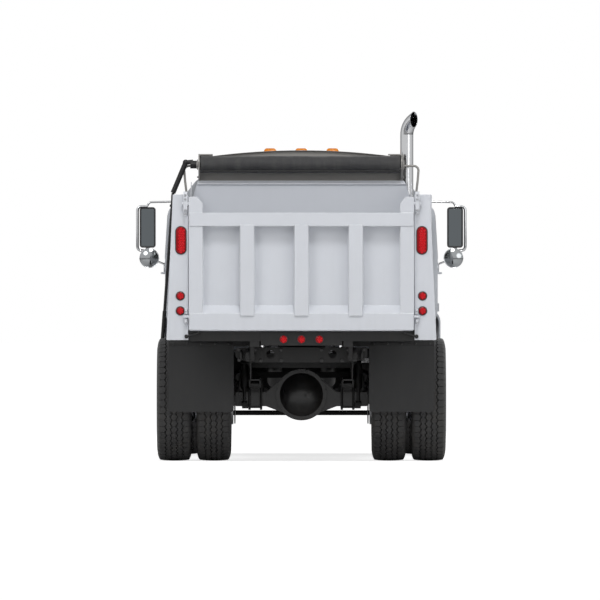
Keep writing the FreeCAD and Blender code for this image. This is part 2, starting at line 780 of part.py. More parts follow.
def driveshaft():
    """Tube with a yoke at each end, from the gearbox to the pinion."""
    front = Vec(0, cab_back_y + 457, 740)
    rear = Vec(0, rear_axle_y + 313, axle_z + 38)
    way = (rear - front).normalize()
    tube = rod_between(front + way * 120, rear - way * 120, 48)
    parts = [tube, rod_between(front, front + way * 130, 34), rod_between(rear, rear - way * 130, 34)]
    for centre in (front + way * 70, rear - way * 70):
        parts.append(Part.makeSphere(58, centre))
    return fused(*parts)


def step(side, y0, y1, x_in, x_out, z):
    """Tread with a raised rim."""
    tread = block(side * x_in, side * x_out, y0, y1, z, z + 30)
    pan = block(side * (x_in + 14), side * (x_out - 14), y0 + 14, y1 - 14, z + 8, z + 40)
    return tread.cut(pan)


def tank_box(side, y0, y1, x_in, x_out, low, high, round_off):
    return prism([
        (side * x_in, low, round_off), (side * x_in, high, round_off),
        (side * x_out, high, round_off), (side * x_out, low, round_off),
    ], "y", y0, y1)


def fuel_tank():
    """Left tank with straps, filler neck and two step treads, on brackets off the rail."""
    y0 = cab_back_y + 90
    y1 = cab_front_y - 60
    x_in = frame_half + 60
    x_out = 1010.0
    low = 440.0
    high = 930.0
    parts = [tank_box(-1, y0, y1, x_in, x_out, low, high, 130)]
    for y in (y0 + 180, y1 - 230):
        parts.append(tank_box(-1, y, y + 50, x_in - 4, x_out + 4, low - 4, high + 4, 134))
        parts.append(prism([(-frame_half, 700), (-frame_half, 900), (-x_in - 60, 900), (-x_in - 20, 700)],
                           "y", y, y + 50))
        parts.append(block(-x_out + 6, -x_out - 92, y + 8, y + 42, low + 150, low + 162))
        parts.append(block(-x_out + 6, -x_out - 92, y + 8, y + 42, high - 150, high - 138))
    parts.append(rod_z(high - 10, high + 35, -x_out + 190, y0 + 90, 45))
    parts.append(step(-1, y0 + 140, y1 - 120, x_out + 6, x_out + 100, low + 162))
    parts.append(step(-1, y0 + 140, y1 - 120, x_out + 6, x_out + 100, high - 138))
    return fused(*parts)


def battery_box():
    """Right box with a lid and two step treads."""
    y0 = cab_front_y - 640
    y1 = cab_front_y - 60
    x_in = frame_half + 40
    x_out = 1010.0
    low = 480.0
    high = 930.0
    parts = [tank_box(1, y0, y1, x_in, x_out, low, high, 24), tank_box(1, y0 - 8, y1 + 8, x_in - 8,
             x_out + 8, high - 90, high + 6, 24)]
    for y in (y0 + 90, y1 - 140):
        parts.append(block(frame_half, x_in + 10, y, y + 50, 700, 900))
        parts.append(block(x_out - 6, x_out + 92, y + 8, y + 42, low + 110, low + 122))
        parts.append(block(x_out - 6, x_out + 92, y + 8, y + 42, high - 150, high - 138))
    parts.append(step(1, y0 + 20, y1 - 20, x_out + 9, x_out + 100, low + 122))
    parts.append(step(1, y0 + 20, y1 - 20, x_out + 9, x_out + 100, high - 138))
    return fused(*parts)


def air_tanks():
    """Two brake reservoirs side by side on the left, behind the cab, strapped to the rail."""
    tanks = []
    radius = 118.0
    for i in range(2):
        x = -frame_half - 40 - radius
        y0 = bed_front_y - 160 - i * 590
        body = rod_y(y0, y0 - 520, x, rail_top_z - 150, radius)
        ends = [Part.makeCone(radius, radius - 40, 26, Vec(x, y0, rail_top_z - 150), Vec(0, 1, 0)),
                Part.makeCone(radius, radius - 40, 26, Vec(x, y0 - 520, rail_top_z - 150), Vec(0, -1, 0))]
        strap = [block(-frame_half, x, y0 - at - 40, y0 - at, rail_top_z - 150 - 40, rail_top_z - 110)
                 for at in (90, 390)]
        tanks.append(fused(body, *ends, *strap))
    return tanks


def exhaust_stack():
    """Muffler under the cab, elbow, upright pipe and a tip that leans out and back."""
    x = stack_x
    y = (cab_back_y + bed_front_y) / 2 + 10
    low = 800.0
    lean = math.radians(tip_lean_deg)
    reach = tip_bend * math.tan(lean / 2)
    tip_corner = Vec(x, y, tip_start_z + reach)
    aside = Vec(*tip_way)
    tip_end = tip_corner + (aside * math.sin(lean) + Vec(0, 0, math.cos(lean))) * (reach + 90)
    muffler_x = x - 60
    pipe = bent_rod([
        Vec(muffler_x, cab_back_y + 210, low), Vec(muffler_x, y + 200, low), Vec(x, y, low + 180),
        tip_corner, tip_end,
    ], stack_radius, tip_bend)
    bore = bent_rod([tip_corner - Vec(0, 0, 160), tip_corner, tip_end + (tip_end - tip_corner) * 0.2],
                    stack_radius - 4, tip_bend)
    mouth = tip_corner + aside * tip_reach
    beyond = Part.makeBox(400, 800, 800, mouth - Vec(0, 400, 400))
    beyond.rotate(mouth, Vec(0, 0, 1), math.degrees(math.atan2(aside.y, aside.x)))
    muffler = rod_y(cab_back_y + 120, cab_back_y + 580, muffler_x, low, 122)
    parts = [pipe.cut(beyond), muffler]
    parts.append(block(frame_half, muffler_x - 60, cab_back_y + 320, cab_back_y + 380, low + 20, low + 60))
    for z in (1280, 1900):
        parts.append(block(x - 30, x + 30, y, cab_back_y, z, z + 40))
    return fused(*parts).cut(bore)


# Bumper

def front_bumper():
    """Pressed bumper on two brackets, with tow hook slots and the hood's pivot brackets."""
    back = nose_y - bumper_depth
    shell = prism([
        (-bumper_half, back + 6, 4), (-bumper_half, nose_y - 60, 60), (-bumper_half + 260, nose_y, 240),
        (bumper_half - 260, nose_y, 240), (bumper_half, nose_y - 60, 60), (bumper_half, back + 6, 4),
    ], "z", bumper_foot_z, bumper_top_z)
    hollow = prism([
        (-bumper_half + 8, back - 10), (-bumper_half + 8, nose_y - 64, 52),
        (-bumper_half + 264, nose_y - 8, 232), (bumper_half - 264, nose_y - 8, 232),
        (bumper_half - 8, nose_y - 64, 52), (bumper_half - 8, back - 10),
    ], "z", bumper_foot_z + 8, bumper_top_z - 8)
    shell = shell.cut(hollow)
    parts = [shell]
    for side in (-1, 1):
        arm = block(side * (frame_half), side * (frame_half + 16), rail_front_y - 60, nose_y - 8,
                    rail_bottom_z - 70, bumper_top_z - 8)
        lug = prism([
            (hood_pivot[0] - 40, bumper_top_z), (hood_pivot[0] - 26, hood_pivot[1] + 26, 24),
            (hood_pivot[0] + 26, hood_pivot[1] + 26, 24), (hood_pivot[0] + 40, bumper_top_z),
        ], "x", side * 376, side * 392)
        pin = rod_x(side * 370, side * 440, hood_pivot[0], hood_pivot[1], 10)
        parts += [arm, lug, pin]
    bumper = fused(*parts)
    for side in (-1, 1):
        slot = prism([
            (side * 520, 560, 24), (side * 520, 650, 24), (side * 640, 650, 24), (side * 640, 560, 24),
        ], "y", nose_y - 40, nose_y + 10)
        bumper = bumper.cut(slot)
    return bumper


# Hood

def hood_form(inset, rear_extra, drop):
    """Fenders and centre section as two solids, drawn in by the given wall."""
    fender = prism([
        (hood_rear_y - rear_extra, fender_foot_z + 120 - drop),
        (hood_rear_y - rear_extra, 1250 - inset, 30), (front_axle_y - 150, fender_top_z - inset, 300),
        (front_axle_y + 400, fender_top_z - inset, 350), (hood_front_y - 15 - inset, 1130 - inset, 180),
        (hood_front_y - inset, fender_foot_z - drop), (arch_front_y(), fender_foot_z - drop),
    ], "x", -fender_half + inset, fender_half - inset)
    front_view = prism([
        (-fender_half + inset, 300), (-fender_half + inset, fender_top_z - inset + 2, fender_round),
        (fender_half - inset, fender_top_z - inset + 2, fender_round), (fender_half - inset, 300),
    ], "y", hood_rear_y - 50, hood_front_y + 50)
    plan = prism([
        (-fender_half + inset, hood_rear_y - 50), (-fender_half + inset, hood_front_y - 120 - inset, 160),
        (-fender_half + 240, hood_front_y - inset, 240), (fender_half - 240, hood_front_y - inset, 240),
        (fender_half - inset, hood_front_y - 120 - inset, 160), (fender_half - inset, hood_rear_y - 50),
    ], "z", 200, 1700)
    shoulders = fender.common(front_view).common(plan)
    centre = flat_sided(
        centre_section(1.0, inset, 800 - drop, hood_rear_y - rear_extra * 0.8),
        centre_section(0.75, inset, 812 - drop, hood_front_y - inset * 1.1))
    ridges = [edge for edge in centre.Edges if is_shoulder(edge)]
    return [shoulders, centre.makeFillet(hood_round - inset, ridges)]


def centre_section(share, inset, foot, y):
    """Hood section between the fenders: a tall trapezoid, smaller towards the nose."""
    side = 240 + 560 * share - inset
    knee = 860 + 400 * share - inset
    ridge = side - 120 * share
    top = knee + 325 * share
    return [Vec(x, y, z) for x, z in (
        (-side, foot), (-side, knee), (-ridge, top), (ridge, top), (side, knee), (side, foot))]


def flat_sided(first, last):
    """Solid between two sections whose matching sides are parallel."""
    count = len(first)
    faces = [Part.Face(Part.makePolygon(first + first[:1])), Part.Face(Part.makePolygon(last + last[:1]))]
    for i in range(count):
        j = (i + 1) % count
        ring = [first[i], first[j], last[j], last[i], first[i]]
        faces.append(Part.Face(Part.makePolygon(ring)))
    shell = Part.Shell(faces)
    shell.sewShape()
    return Part.Solid(shell).removeSplitter()


def is_shoulder(edge):
    """Long edge along the hood above the fenders."""
    box = edge.BoundBox
    return box.YLength > 500 and box.ZMin > 1120


def arch_front_y():
    rise = axle_z - fender_foot_z
    return front_axle_y + math.sqrt(arch_radius ** 2 - rise ** 2)


def grille_opening():
    return prism([
        (-430, 850, 40), (-400, 1330, 60), (400, 1330, 60), (430, 850, 40),
    ], "y", hood_front_y - 120, hood_front_y + 60)


def lamp_opening(side, grow):
    return prism([
        (side * (700 - grow), 880 - grow, 50), (side * (690 - grow), 1060 + grow, 50),
        (side * (1010 + grow), 1060 + grow, 70), (side * (1010 + grow), 880 - grow, 50),
    ], "y", hood_front_y - 160, hood_front_y + 60)


def hood():
    """Tilting shell of hood and fenders, with its pivot arms."""
    shell = fused(*hood_form(0, 0, 0))
    for inside in hood_form(hood_wall, 30, 400):
        shell = shell.cut(inside)
    for side in (-1, 1):
        shell = shell.cut(rod_x(side * 600, side * 1400, front_axle_y, axle_z, arch_radius))
        shell = shell.cut(lamp_opening(side, 0))
    shell = shell.cut(grille_opening())
    shell = shell.cut(block(-600, 600, hood_front_y - 60, hood_front_y + 10, 300, 812))
    arms = []
    for side in (-1, 1):
        arm = prism([
            (hood_front_y - hood_wall - 4, 818), (hood_front_y - hood_wall - 4, 850),
            (hood_pivot[0] + 20, hood_pivot[1] + 20, 19), (hood_pivot[0] + 20, hood_pivot[1] - 20, 19),
            (hood_pivot[0] - 20, hood_pivot[1] - 20, 19),
        ], "x", side * 400, side * 430)
        bore = rod_x(side * 390, side * 440, hood_pivot[0], hood_pivot[1], 10 + pin_gap)
        arms.append(arm.cut(bore))
    return fused(shell, *arms)


def grille():
    """Surround with upright bars in the hood's nose."""
    frame = grille_opening().common(block(-600, 600, hood_front_y - 50, hood_front_y, 700, 1500))
    inner = prism([
        (-405, 875, 30), (-378, 1305, 46), (378, 1305, 46), (405, 875, 30),
    ], "y", hood_front_y - 130, hood_front_y + 70)
    window = frame.common(inner)
    surround = frame.cut(inner)
    bars = []
    count = 13
    for i in range(count):
        x = -372 + i * 744 / (count - 1)
        bars.append(block(x - 9, x + 9, hood_front_y - 44, hood_front_y - 8, 850, 1330))
    for z in (1020, 1165):
        bars.append(block(-420, 420, hood_front_y - 40, hood_front_y - 28, z - 8, z + 8))
    cage = fused(*bars).common(window)
    return fused(surround, cage)


def headlamps():
    """Lamp bodies set in the fenders' front faces."""
    lamps = []
    for side in (-1, 1):
        body = lamp_opening(side, 0).common(hood_form(0, 0, 0)[0]).common(
            block(side * 500, side * 1300, hood_front_y - 150, hood_front_y + 10, 700, 1200))
        lamps.append(body)
    return lamps


# Cab

def cab_form(inset):
    """Cab as one solid, drawn in by the given wall."""
    back = cab_back_y + inset
    foot = cab_floor_z + inset
    roof = cab_roof_z - inset
    top_y = cab_front_y - screen_top_inset
    side_view = [
        (back, foot), (back, roof - 22, 110 - inset), (top_y - inset, roof, 120),
        (cab_front_y - inset, cowl_z, 60), (cab_front_y - inset, foot),
    ]
    front_view = [
        (-cab_foot_half + inset, foot), (-cab_half + inset, cab_floor_z + 260, 200),
        (-cab_half + inset, cab_belt_z, 300), (-cab_shoulder_half + inset, cab_shoulder_z, 500),
        (-cab_roof_half + inset, roof, 150 - inset), (cab_roof_half - inset, roof, 150 - inset),
        (cab_shoulder_half - inset, cab_shoulder_z, 500), (cab_half - inset, cab_belt_z, 300),
        (cab_half - inset, cab_floor_z + 260, 200), (cab_foot_half - inset, foot),
    ]
    form = prism(side_view, "x", -cab_half - 10, cab_half + 10)
    return form.common(prism(front_view, "y", cab_back_y, cab_front_y))


def windscreen_slope(z):
    """Outer face of the windscreen at a height."""
    return cab_front_y - screen_top_inset * (z - cowl_z) / (cab_roof_z - cowl_z)


def door_outline(shrink):
    rear = cab_back_y + door_rear_inset + shrink
    front = cab_front_y - door_front_inset - shrink
    top = door_top_z - shrink
    bottom = door_bottom_z + shrink
    lean = windscreen_slope(top) - 150 - shrink
    return [(rear, bottom, 60), (rear, top, 90), (lean, top, 90), (front, cowl_z + 60, 90),
            (front, bottom, 120)]


def door_window(grow):
    rear = cab_back_y + door_rear_inset + 85 - grow
    top = door_top_z - 90 + grow
    return [(rear, cab_belt_z - 20 - grow, 50), (rear, top, 70), (windscreen_slope(top) - 245 + grow, top, 60),
            (cab_front_y - door_front_inset - 105 + grow, cab_belt_z - 20 - grow, 60)]


def screen_window():
    foot = cab_half - screen_foot_side
    head = cab_roof_half - screen_head_side
    return prism([
        (-foot, cowl_z + 95, 70), (-head, cab_roof_z - 170, 90), (head, cab_roof_z - 170, 90),
        (foot, cowl_z + 95, 70),
    ], "y", cab_back_y + 500, cab_front_y + 20)


def rear_window():
    return prism([
        (-620, 1780, 70), (-590, 2330, 70), (590, 2330, 70), (620, 1780, 70),
    ], "y", cab_back_y - 20, cab_back_y + 200)


def side_slab(shape_form, side):
    """The side wall's share of the cab's shell."""
    return shape_form.common(block(side * door_cut_in, side * door_cut_out, cab_back_y, cab_front_y,
                                   cab_floor_z - 100, cab_roof_z + 68))


def cab_shell():
    return cab_form(0).cut(cab_form(cab_wall))


def cab():
    """Hollow shell with window and door openings, standing on four mounts."""
    shell = cab_shell()
    opening = door_outline(0)
    for side in (-1, 1):
        shell = shell.cut(prism(opening, "x", side * door_cut_in, side * door_cut_out))
    shell = shell.cut(screen_window()).cut(rear_window())
    adds = []
    for side in (-1, 1):
        for y in (cab_back_y + 110, cab_front_y - 120):
            adds.append(rod_z(rail_top_z, cab_floor_z + 10, side * rail_mid, y, 38))
        for z in door_hinge_zs:
            adds.append(door_hinge_cab_side(side, z))
    return fused(shell, *adds)


def door_hinge_cab_side(side, z):
    """Hinge leaf on the front pillar, with two knuckles and the pin."""
    outer = side * (door_hinge_x + 4)
    leaf = block(side * door_leaf_root_x, outer, door_hinge_y + 18, door_hinge_y + 52,
                 z - door_hinge_half, z + door_hinge_half)
    pieces = [rod_z(z - door_hinge_half, z + door_hinge_half, side * door_hinge_x, door_hinge_y,
                    door_pin_radius)]
    for low, high in ((-door_hinge_half, -door_knuckle_half), (door_knuckle_half, door_hinge_half)):
        pieces.append(block(side * (door_hinge_x - 8), outer, door_hinge_y, door_hinge_y + 20,
                            z + low, z + high))
        pieces.append(rod_z(z + low, z + high, side * door_hinge_x, door_hinge_y, door_knuckle_radius))
    return fused(leaf, *pieces)


def door_hinge_door_side(side, z):
    """Hinge leaf on the door, with the middle knuckle bored for the pin."""
    low = z - door_knuckle_half + pin_gap
    high = z + door_knuckle_half - pin_gap
    outer = side * (door_hinge_x + 4)
    leaf = block(side * door_leaf_root_x, outer, door_hinge_y - 52, door_hinge_y - gap - 2, low, high)
    neck = block(side * (door_hinge_x - 8), outer, door_hinge_y - 30, door_hinge_y, low, high)
    knuckle_ring = rod_z(low, high, side * door_hinge_x, door_hinge_y, door_knuckle_radius)
    bore = rod_z(low - 1, high + 1, side * door_hinge_x, door_hinge_y, door_pin_radius + pin_gap)
    return fused(leaf, neck, knuckle_ring).cut(bore)


def glass_layer(depth, thickness):
    """Thin skin parallel to the cab's outside."""
    return cab_form(depth).cut(cab_form(depth + thickness))


def cab_glass():
    skin = glass_layer(24.0, 6.0)
    return [skin.common(screen_window()).Solids[0], skin.common(rear_window()).Solids[0]]


def door(side):
    """Door cut from the cab's wall, with its window opening, inner armrest and handle."""
    slab = side_slab(cab_shell(), side)
    panel = slab.common(prism(door_outline(gap), "x", side * door_cut_in, side * door_cut_out))
    panel = panel.cut(prism(door_window(0), "x", side * door_cut_in, side * door_cut_out))
    rear = cab_back_y + door_rear_inset
    handle_z = cab_belt_z - 150
    handle = bent_rod([
        Vec(side * (cab_half - 20), rear + 70, handle_z), Vec(side * (cab_half + 34), rear + 70, handle_z),
        Vec(side * (cab_half + 34), rear + 230, handle_z), Vec(side * (cab_half - 20), rear + 230, handle_z),
    ], 9, 20)
    armrest = block(side * (cab_half - cab_wall + 8), side * (cab_half - cab_wall - 50), rear + 120,
                    rear + 560, 1480, 1530)
    hinges = [door_hinge_door_side(side, z) for z in door_hinge_zs]
    return fused(panel, handle, armrest, *hinges)


def door_glass(side):
    skin = side_slab(glass_layer(24.0, 5.0), side)
    return skin.common(prism(door_window(0), "x", side * door_cut_in, side * door_cut_out)).Solids[0]


def mirror(side):
    """Flat mirror in its case, round convex mirror below, and the tube loop that carries both."""
    y = cab_front_y - mirror_inset
    foot_x = cab_half
    case = prism([
        (side * (mirror_x - mirror_half_width), mirror_z - mirror_half_height, 26),
        (side * (mirror_x - mirror_half_width), mirror_z + mirror_half_height, 26),
        (side * (mirror_x + mirror_half_width), mirror_z + mirror_half_height, 26),
        (side * (mirror_x + mirror_half_width), mirror_z - mirror_half_height, 26),
    ], "y", y - 34, y + 34)
    top_z = mirror_z + mirror_half_height + 26
    low_z = convex_z - 95
    wall_x = cab_form_half(top_z)
    loop = bent_rod([
        Vec(side * (wall_x + 2), y, top_z + 6), Vec(side * mirror_loop_x, y, top_z),
        Vec(side * mirror_loop_x, y, convex_z + 70), Vec(side * convex_x, y, convex_z - 12),
        Vec(side * foot_x, y, low_z),
    ], mirror_tube, 44)
    bowl = Part.makeCone(convex_radius, convex_radius - 40, 44, Vec(side * convex_x, y - 76, convex_z),
                         Vec(0, 1, 0))
    stems = [
        rod_z(mirror_z + mirror_half_height - 10, top_z, side * mirror_x, y, 9),
        rod_x(side * (mirror_x + mirror_half_width - 8), side * mirror_loop_x, y, mirror_z - 60, 8),
        rod_x(side * (mirror_x + mirror_half_width - 8), side * mirror_loop_x, y, mirror_z + 90, 8),
        rod_y(y - 40, y + 2, side * convex_x, convex_z, 11),
    ]
    low_foot = block(side * foot_x, side * (foot_x + 14), y - 24, y + 24, low_z - 34, low_z + 34)
    top_foot = block(side * (wall_x - 14), side * (wall_x + 12), y - 18, y + 18, top_z - 26, top_z + 38)
    return fused(case, loop, bowl, *stems, low_foot, top_foot).cut(cab_form(0))


def cab_form_half(z):
    """Half width of the cab between its belt and its shoulder."""
    share = (z - cab_belt_z) / (cab_shoulder_z - cab_belt_z)
    return cab_half + (cab_shoulder_half - cab_half) * share


def cab_interior():
    """Two seats, and the dashboard with its column and steering wheel."""
    floor = cab_floor_z + cab_wall
    pieces = []
    seat_y = cab_back_y + 130
    for side in (-1, 1):
        base = block(side * 520 - 200, side * 520 + 200, seat_y + 120, seat_y + 480, floor, floor + 250)
        cushion = prism([
            (seat_y + 70, floor + 250, 30), (seat_y + 70, floor + 390, 50), (seat_y + 560, floor + 400, 60),
            (seat_y + 560, floor + 250, 30),
        ], "x", side * 520 - 250, side * 520 + 250)
        back = prism([
            (seat_y + 60, floor + 370, 40), (seat_y - 40, floor + 1020, 50), (seat_y + 70, floor + 1030, 40),
            (seat_y + 200, floor + 380, 60),
        ], "x", side * 520 - 240, side * 520 + 240)
        head = prism([
            (seat_y - 36, floor + 1010, 20), (seat_y - 60, floor + 1210, 40), (seat_y + 40, floor + 1220, 40),
            (seat_y + 66, floor + 1015, 20),
        ], "x", side * 520 - 140, side * 520 + 140)
        pieces.append(fused(base, cushion, back, head))
    dash_back = cab_front_y - cab_wall
    dash = prism([
        (dash_back, floor + 260), (dash_back, cowl_z + 20), (dash_back - 90, cowl_z + 70, 60),
        (dash_back - 270, cowl_z + 20, 70), (dash_back - 230, floor + 330, 60),
    ], "x", -cab_foot_half + cab_wall + 10, cab_foot_half - cab_wall - 10)
    dash = dash.common(cab_form(cab_wall))
    hub = Vec(-520, dash_back - 420, cowl_z + 110)
    lean = Vec(0, -0.52, 0.85)
    column = rod_between(Vec(-520, dash_back - 200, cowl_z - 220), hub, 26)
    ring = Part.makeTorus(225, 15, hub, lean)
    spokes = [rod_between(hub, hub + way * 222, 12) for way in
              (Vec(1, 0, 0), Vec(-1, 0, 0), Vec(0, -0.85, -0.52))]
    boss = rod_between(hub - lean * 20, hub + lean * 16, 52)
    pieces.append(fused(dash, column, boss, ring, *spokes))
    return pieces


def roof_lamps():
    """Three amber lamps in a row near the roof's front edge."""
    lamps = []
    y = windscreen_slope(cab_roof_z) - 130
    top_z = 2694.0
    for x in (-273, 0, 273):
        form = prism([
            (x - 60, cab_roof_z - 30), (x - 54, top_z, 34), (x + 54, top_z, 34), (x + 60, cab_roof_z - 30),
        ], "y", y - 50, y + 60)
        side_form = prism([
            (y - 50, cab_roof_z - 30), (y - 46, top_z, 30), (y + 20, top_z, 30), (y + 60, cab_roof_z - 30),
        ], "x", x - 70, x + 70)
        lamps.append(form.common(side_form).cut(cab_form(0)))
    return lamps


# Dump bed


def bed_floor():
    return block(-bed_inner_half, bed_inner_half, floor_rear_y, headboard_rear_y, floor_bottom_z, floor_z)


def oval_hole(side, grow, y0, y1):
    return prism([
        (side * (lamp_x - 44 - grow), lamp_z - 116 - grow, 43 + grow),
        (side * (lamp_x - 44 - grow), lamp_z + 116 + grow, 43 + grow),
        (side * (lamp_x + 44 + grow), lamp_z + 116 + grow, 43 + grow),
        (side * (lamp_x + 44 + grow), lamp_z - 116 - grow, 43 + grow),
    ], "y", y0, y1)


def bed_side(side):
    """Side wall with its corner post, top rail, ribs, lower rail and front gusset."""
    inner = side * bed_inner_half
    skin = side * (bed_inner_half + bed_plate)
    parts = [block(inner, skin, floor_rear_y + 4, headboard_rear_y, floor_bottom_z, side_top_z)]
    post = prism([
        (side * bed_inner_half, post_foot_z), (side * bed_inner_half, post_top_z, 8),
        (side * post_top_half, post_top_z, 8), (side * post_foot_half, post_foot_z, 8),
    ], "y", bed_rear_y, bed_rear_y + post_depth)
    parts.append(post)
    top_rail = prism([
        (side * bed_inner_half, side_top_z), (side * bed_inner_half, side_top_z - 110),
        (side * (side_rail_half - 30), side_top_z - 110), (side * side_rail_half, side_top_z - 70),
        (side * side_rail_half, side_top_z - 20), (side * (side_rail_half - 40), side_top_z),
    ], "y", bed_rear_y + post_depth - 10, bed_front_y)
    low_rail = prism([
        (skin, floor_bottom_z), (skin, floor_z + 90), (side * (side_rail_half - 30), floor_z + 40),
        (side * (side_rail_half - 30), floor_bottom_z),
    ], "y", bed_rear_y + post_depth - 10, bed_front_y)
    parts += [top_rail, low_rail]
    span = headboard_rear_y - 60 - bed_rear_y - post_depth
    for i in range(side_ribs):
        y = bed_rear_y + post_depth + span * (i + 1) / (side_ribs + 1)
        rib = prism([
            (skin, y - 75), (side * side_rib_half, y - 42, 10), (side * side_rib_half, y + 42, 10),
            (skin, y + 75),
        ], "z", floor_bottom_z, side_top_z - 60)
        parts.append(rib)
    front_post = block(inner, side * (side_rail_half - 14), bed_front_y - 96, bed_front_y,
                       floor_bottom_z, side_top_z - 4)
    gusset = prism([
        (bed_front_y - 560, side_top_z - 20), (bed_front_y - 60, headboard_top_z - 12, 20),
        (bed_front_y - 10, headboard_top_z - 12), (bed_front_y - 10, side_top_z - 20),
    ], "x", inner, skin)
    parts += [front_post, gusset]
    wall = fused(*parts)
    wall = wall.cut(oval_hole(side, seat_gap, bed_rear_y - 5, bed_rear_y + lamp_depth))
    for z in round_lamp_zs:
        hole = rod_y(bed_rear_y - 5, bed_rear_y + lamp_depth, side * round_lamp_x, z,
                     round_lamp_radius + seat_gap)
        wall = wall.cut(hole)
    adds = [hinge_cheek(side), latch_hook(side)]
    return fused(wall, *adds)


def hinge_cheek(side):
    """Plate behind the post that carries the tailgate's top pin."""
    pin_y = tail_y + gate_pin_inset
    cheek = prism([
        (bed_rear_y + 2, gate_pin_z - 100), (bed_rear_y + 2, gate_pin_z + 104),
        (tail_y + 8, gate_pin_z + 60, 30), (tail_y + 8, gate_pin_z - 50, 30),
    ], "x", side * (bed_inner_half + 6), side * (bed_inner_half + 40))
    return cheek.cut(rod_x(side * bed_inner_half, side * (bed_inner_half + 60), pin_y, gate_pin_z,
                          gate_pin_radius + pin_gap))


def latch_hook(side):
    """Jaw behind the post's foot, open to the rear, for the tailgate's lower pin."""
    hook = prism([
        (bed_rear_y + 2, latch_z - 66), (bed_rear_y + 2, latch_z + 66), (tail_y + 14, latch_z + 56, 14),
        (tail_y + 14, latch_z - 50, 14),
    ], "x", side * (bed_inner_half + 8), side * (bed_inner_half + 30))
    jaw = block(side * bed_inner_half, side * (bed_inner_half + 60), tail_y - 20, tail_y + 46,
                latch_z - 22, latch_z + 22)
    return hook.cut(jaw)


def bed_headboard():
    """Front wall with a folded top edge and upright ribs in front."""
    back = headboard_rear_y
    foot_z = floor_bottom_z
    plate = prism([
        (-bed_inner_half, foot_z), (-bed_inner_half, side_top_z), (-headboard_top_half, headboard_top_z, 30),
        (headboard_top_half, headboard_top_z, 30), (bed_inner_half, side_top_z), (bed_inner_half, foot_z),
    ], "y", back, back + bed_plate)
    cap = prism([
        (-headboard_top_half + 8, headboard_top_z - 66), (-headboard_top_half + 8, headboard_top_z, 10),
        (headboard_top_half - 8, headboard_top_z, 10), (headboard_top_half - 8, headboard_top_z - 66),
    ], "y", back, bed_front_y)
    foot = block(-bed_inner_half + 1, bed_inner_half - 1, back, bed_front_y, foot_z, floor_z + 90)
    ribs = [block(x - 40, x + 40, back, bed_front_y, foot_z, headboard_top_z - 30) for x in (-600, 0, 600)]
    mid = block(-bed_inner_half + 1, bed_inner_half - 1, back, bed_front_y - 6, 1700, 1790)
    return fused(plate, cap, foot, mid, *ribs)


def bed_underframe():
    """Two long sills with the hinge eyes and hoist ears, cross sills and the black lamp bar."""
    under = floor_bottom_z
    parts = []
    front = bed_front_y - 50
    rear = bed_rear_y + 20
    for side in (-1, 1):
        sill = block(side * (rail_mid - sill_half_width), side * (rail_mid + sill_half_width), rear, front,
                     sill_bottom_z, under)
        eye = prism([
            (hinge_y - 90, sill_bottom_z + 10), (hinge_y - hinge_eye_radius, hinge_z - hinge_eye_radius, 49),
            (hinge_y + hinge_eye_radius, hinge_z - hinge_eye_radius, 49), (hinge_y + 62, sill_bottom_z + 10),
        ], "x", side * (frame_half - 2), side * (frame_half - 37))
        eye = eye.cut(rod_x(side * 380, side * 450, hinge_y, hinge_z, hinge_pin_radius + pin_gap))
        parts += [sill, eye]
        head_y = hinge_y + hoist_head[0]
        head_z = hinge_z + hoist_head[1]
        for face in (hoist_x - 39, hoist_x + 39):
            outward = 12 if face > hoist_x else -12
            ear = prism([
                (head_y + 130, under), (head_y + 50, head_z - 40, 40), (head_y - 230, head_z - 40, 40),
                (head_y - 260, under),
            ], "x", side * face, side * (face + outward))
            parts.append(ear)
    count = 10
    span = front - 60 - rear
    for i in range(count):
        y = rear + 40 + span * i / (count - 1)
        parts.append(block(-bed_inner_half, bed_inner_half, y - 30, y + 30, under - cross_sill_height, under))
    bar = block(-340, 340, rear - 6, rear + 30, 983, 1091)
    apron = block(-bed_inner_half + 2, bed_inner_half - 2, rear - 2, rear + 10, 1020, under)
    frame = fused(bar, apron, *parts)
    for x in (-150, 0, 150):
        frame = frame.cut(rod_y(rear - 10, rear + 20, x, id_lamp_z, id_lamp_radius + seat_gap))
    return frame


def button_lamp(x, z, face_y, radius):
    """Round lamp with a domed lens in a rubber ring."""
    ring = rod_y(face_y - 5, face_y + 20, x, z, radius)
    lens = Part.makeSphere(60.0, Vec(x, face_y + 44, z)).common(
        rod_y(face_y - 16, face_y + 18, x, z, radius - 6))
    return fused(ring, lens)


def rear_lamps():
    """Red lamps of the posts and of the lamp bar, seated in their holes."""
    lamps = []
    for side in (-1, 1):
        body = oval_hole(side, 0, bed_rear_y - 4, bed_rear_y + lamp_depth - 2)
        lens = oval_hole(side, -9, bed_rear_y - 13, bed_rear_y)
        lamps.append(fused(body, lens))
        for z in round_lamp_zs:
            lamps.append(button_lamp(side * round_lamp_x, z, bed_rear_y, round_lamp_radius))
    for x in (-150, 0, 150):
        lamps.append(button_lamp(x, id_lamp_z, bed_rear_y + 14, id_lamp_radius))
    return lamps


# Tailgate

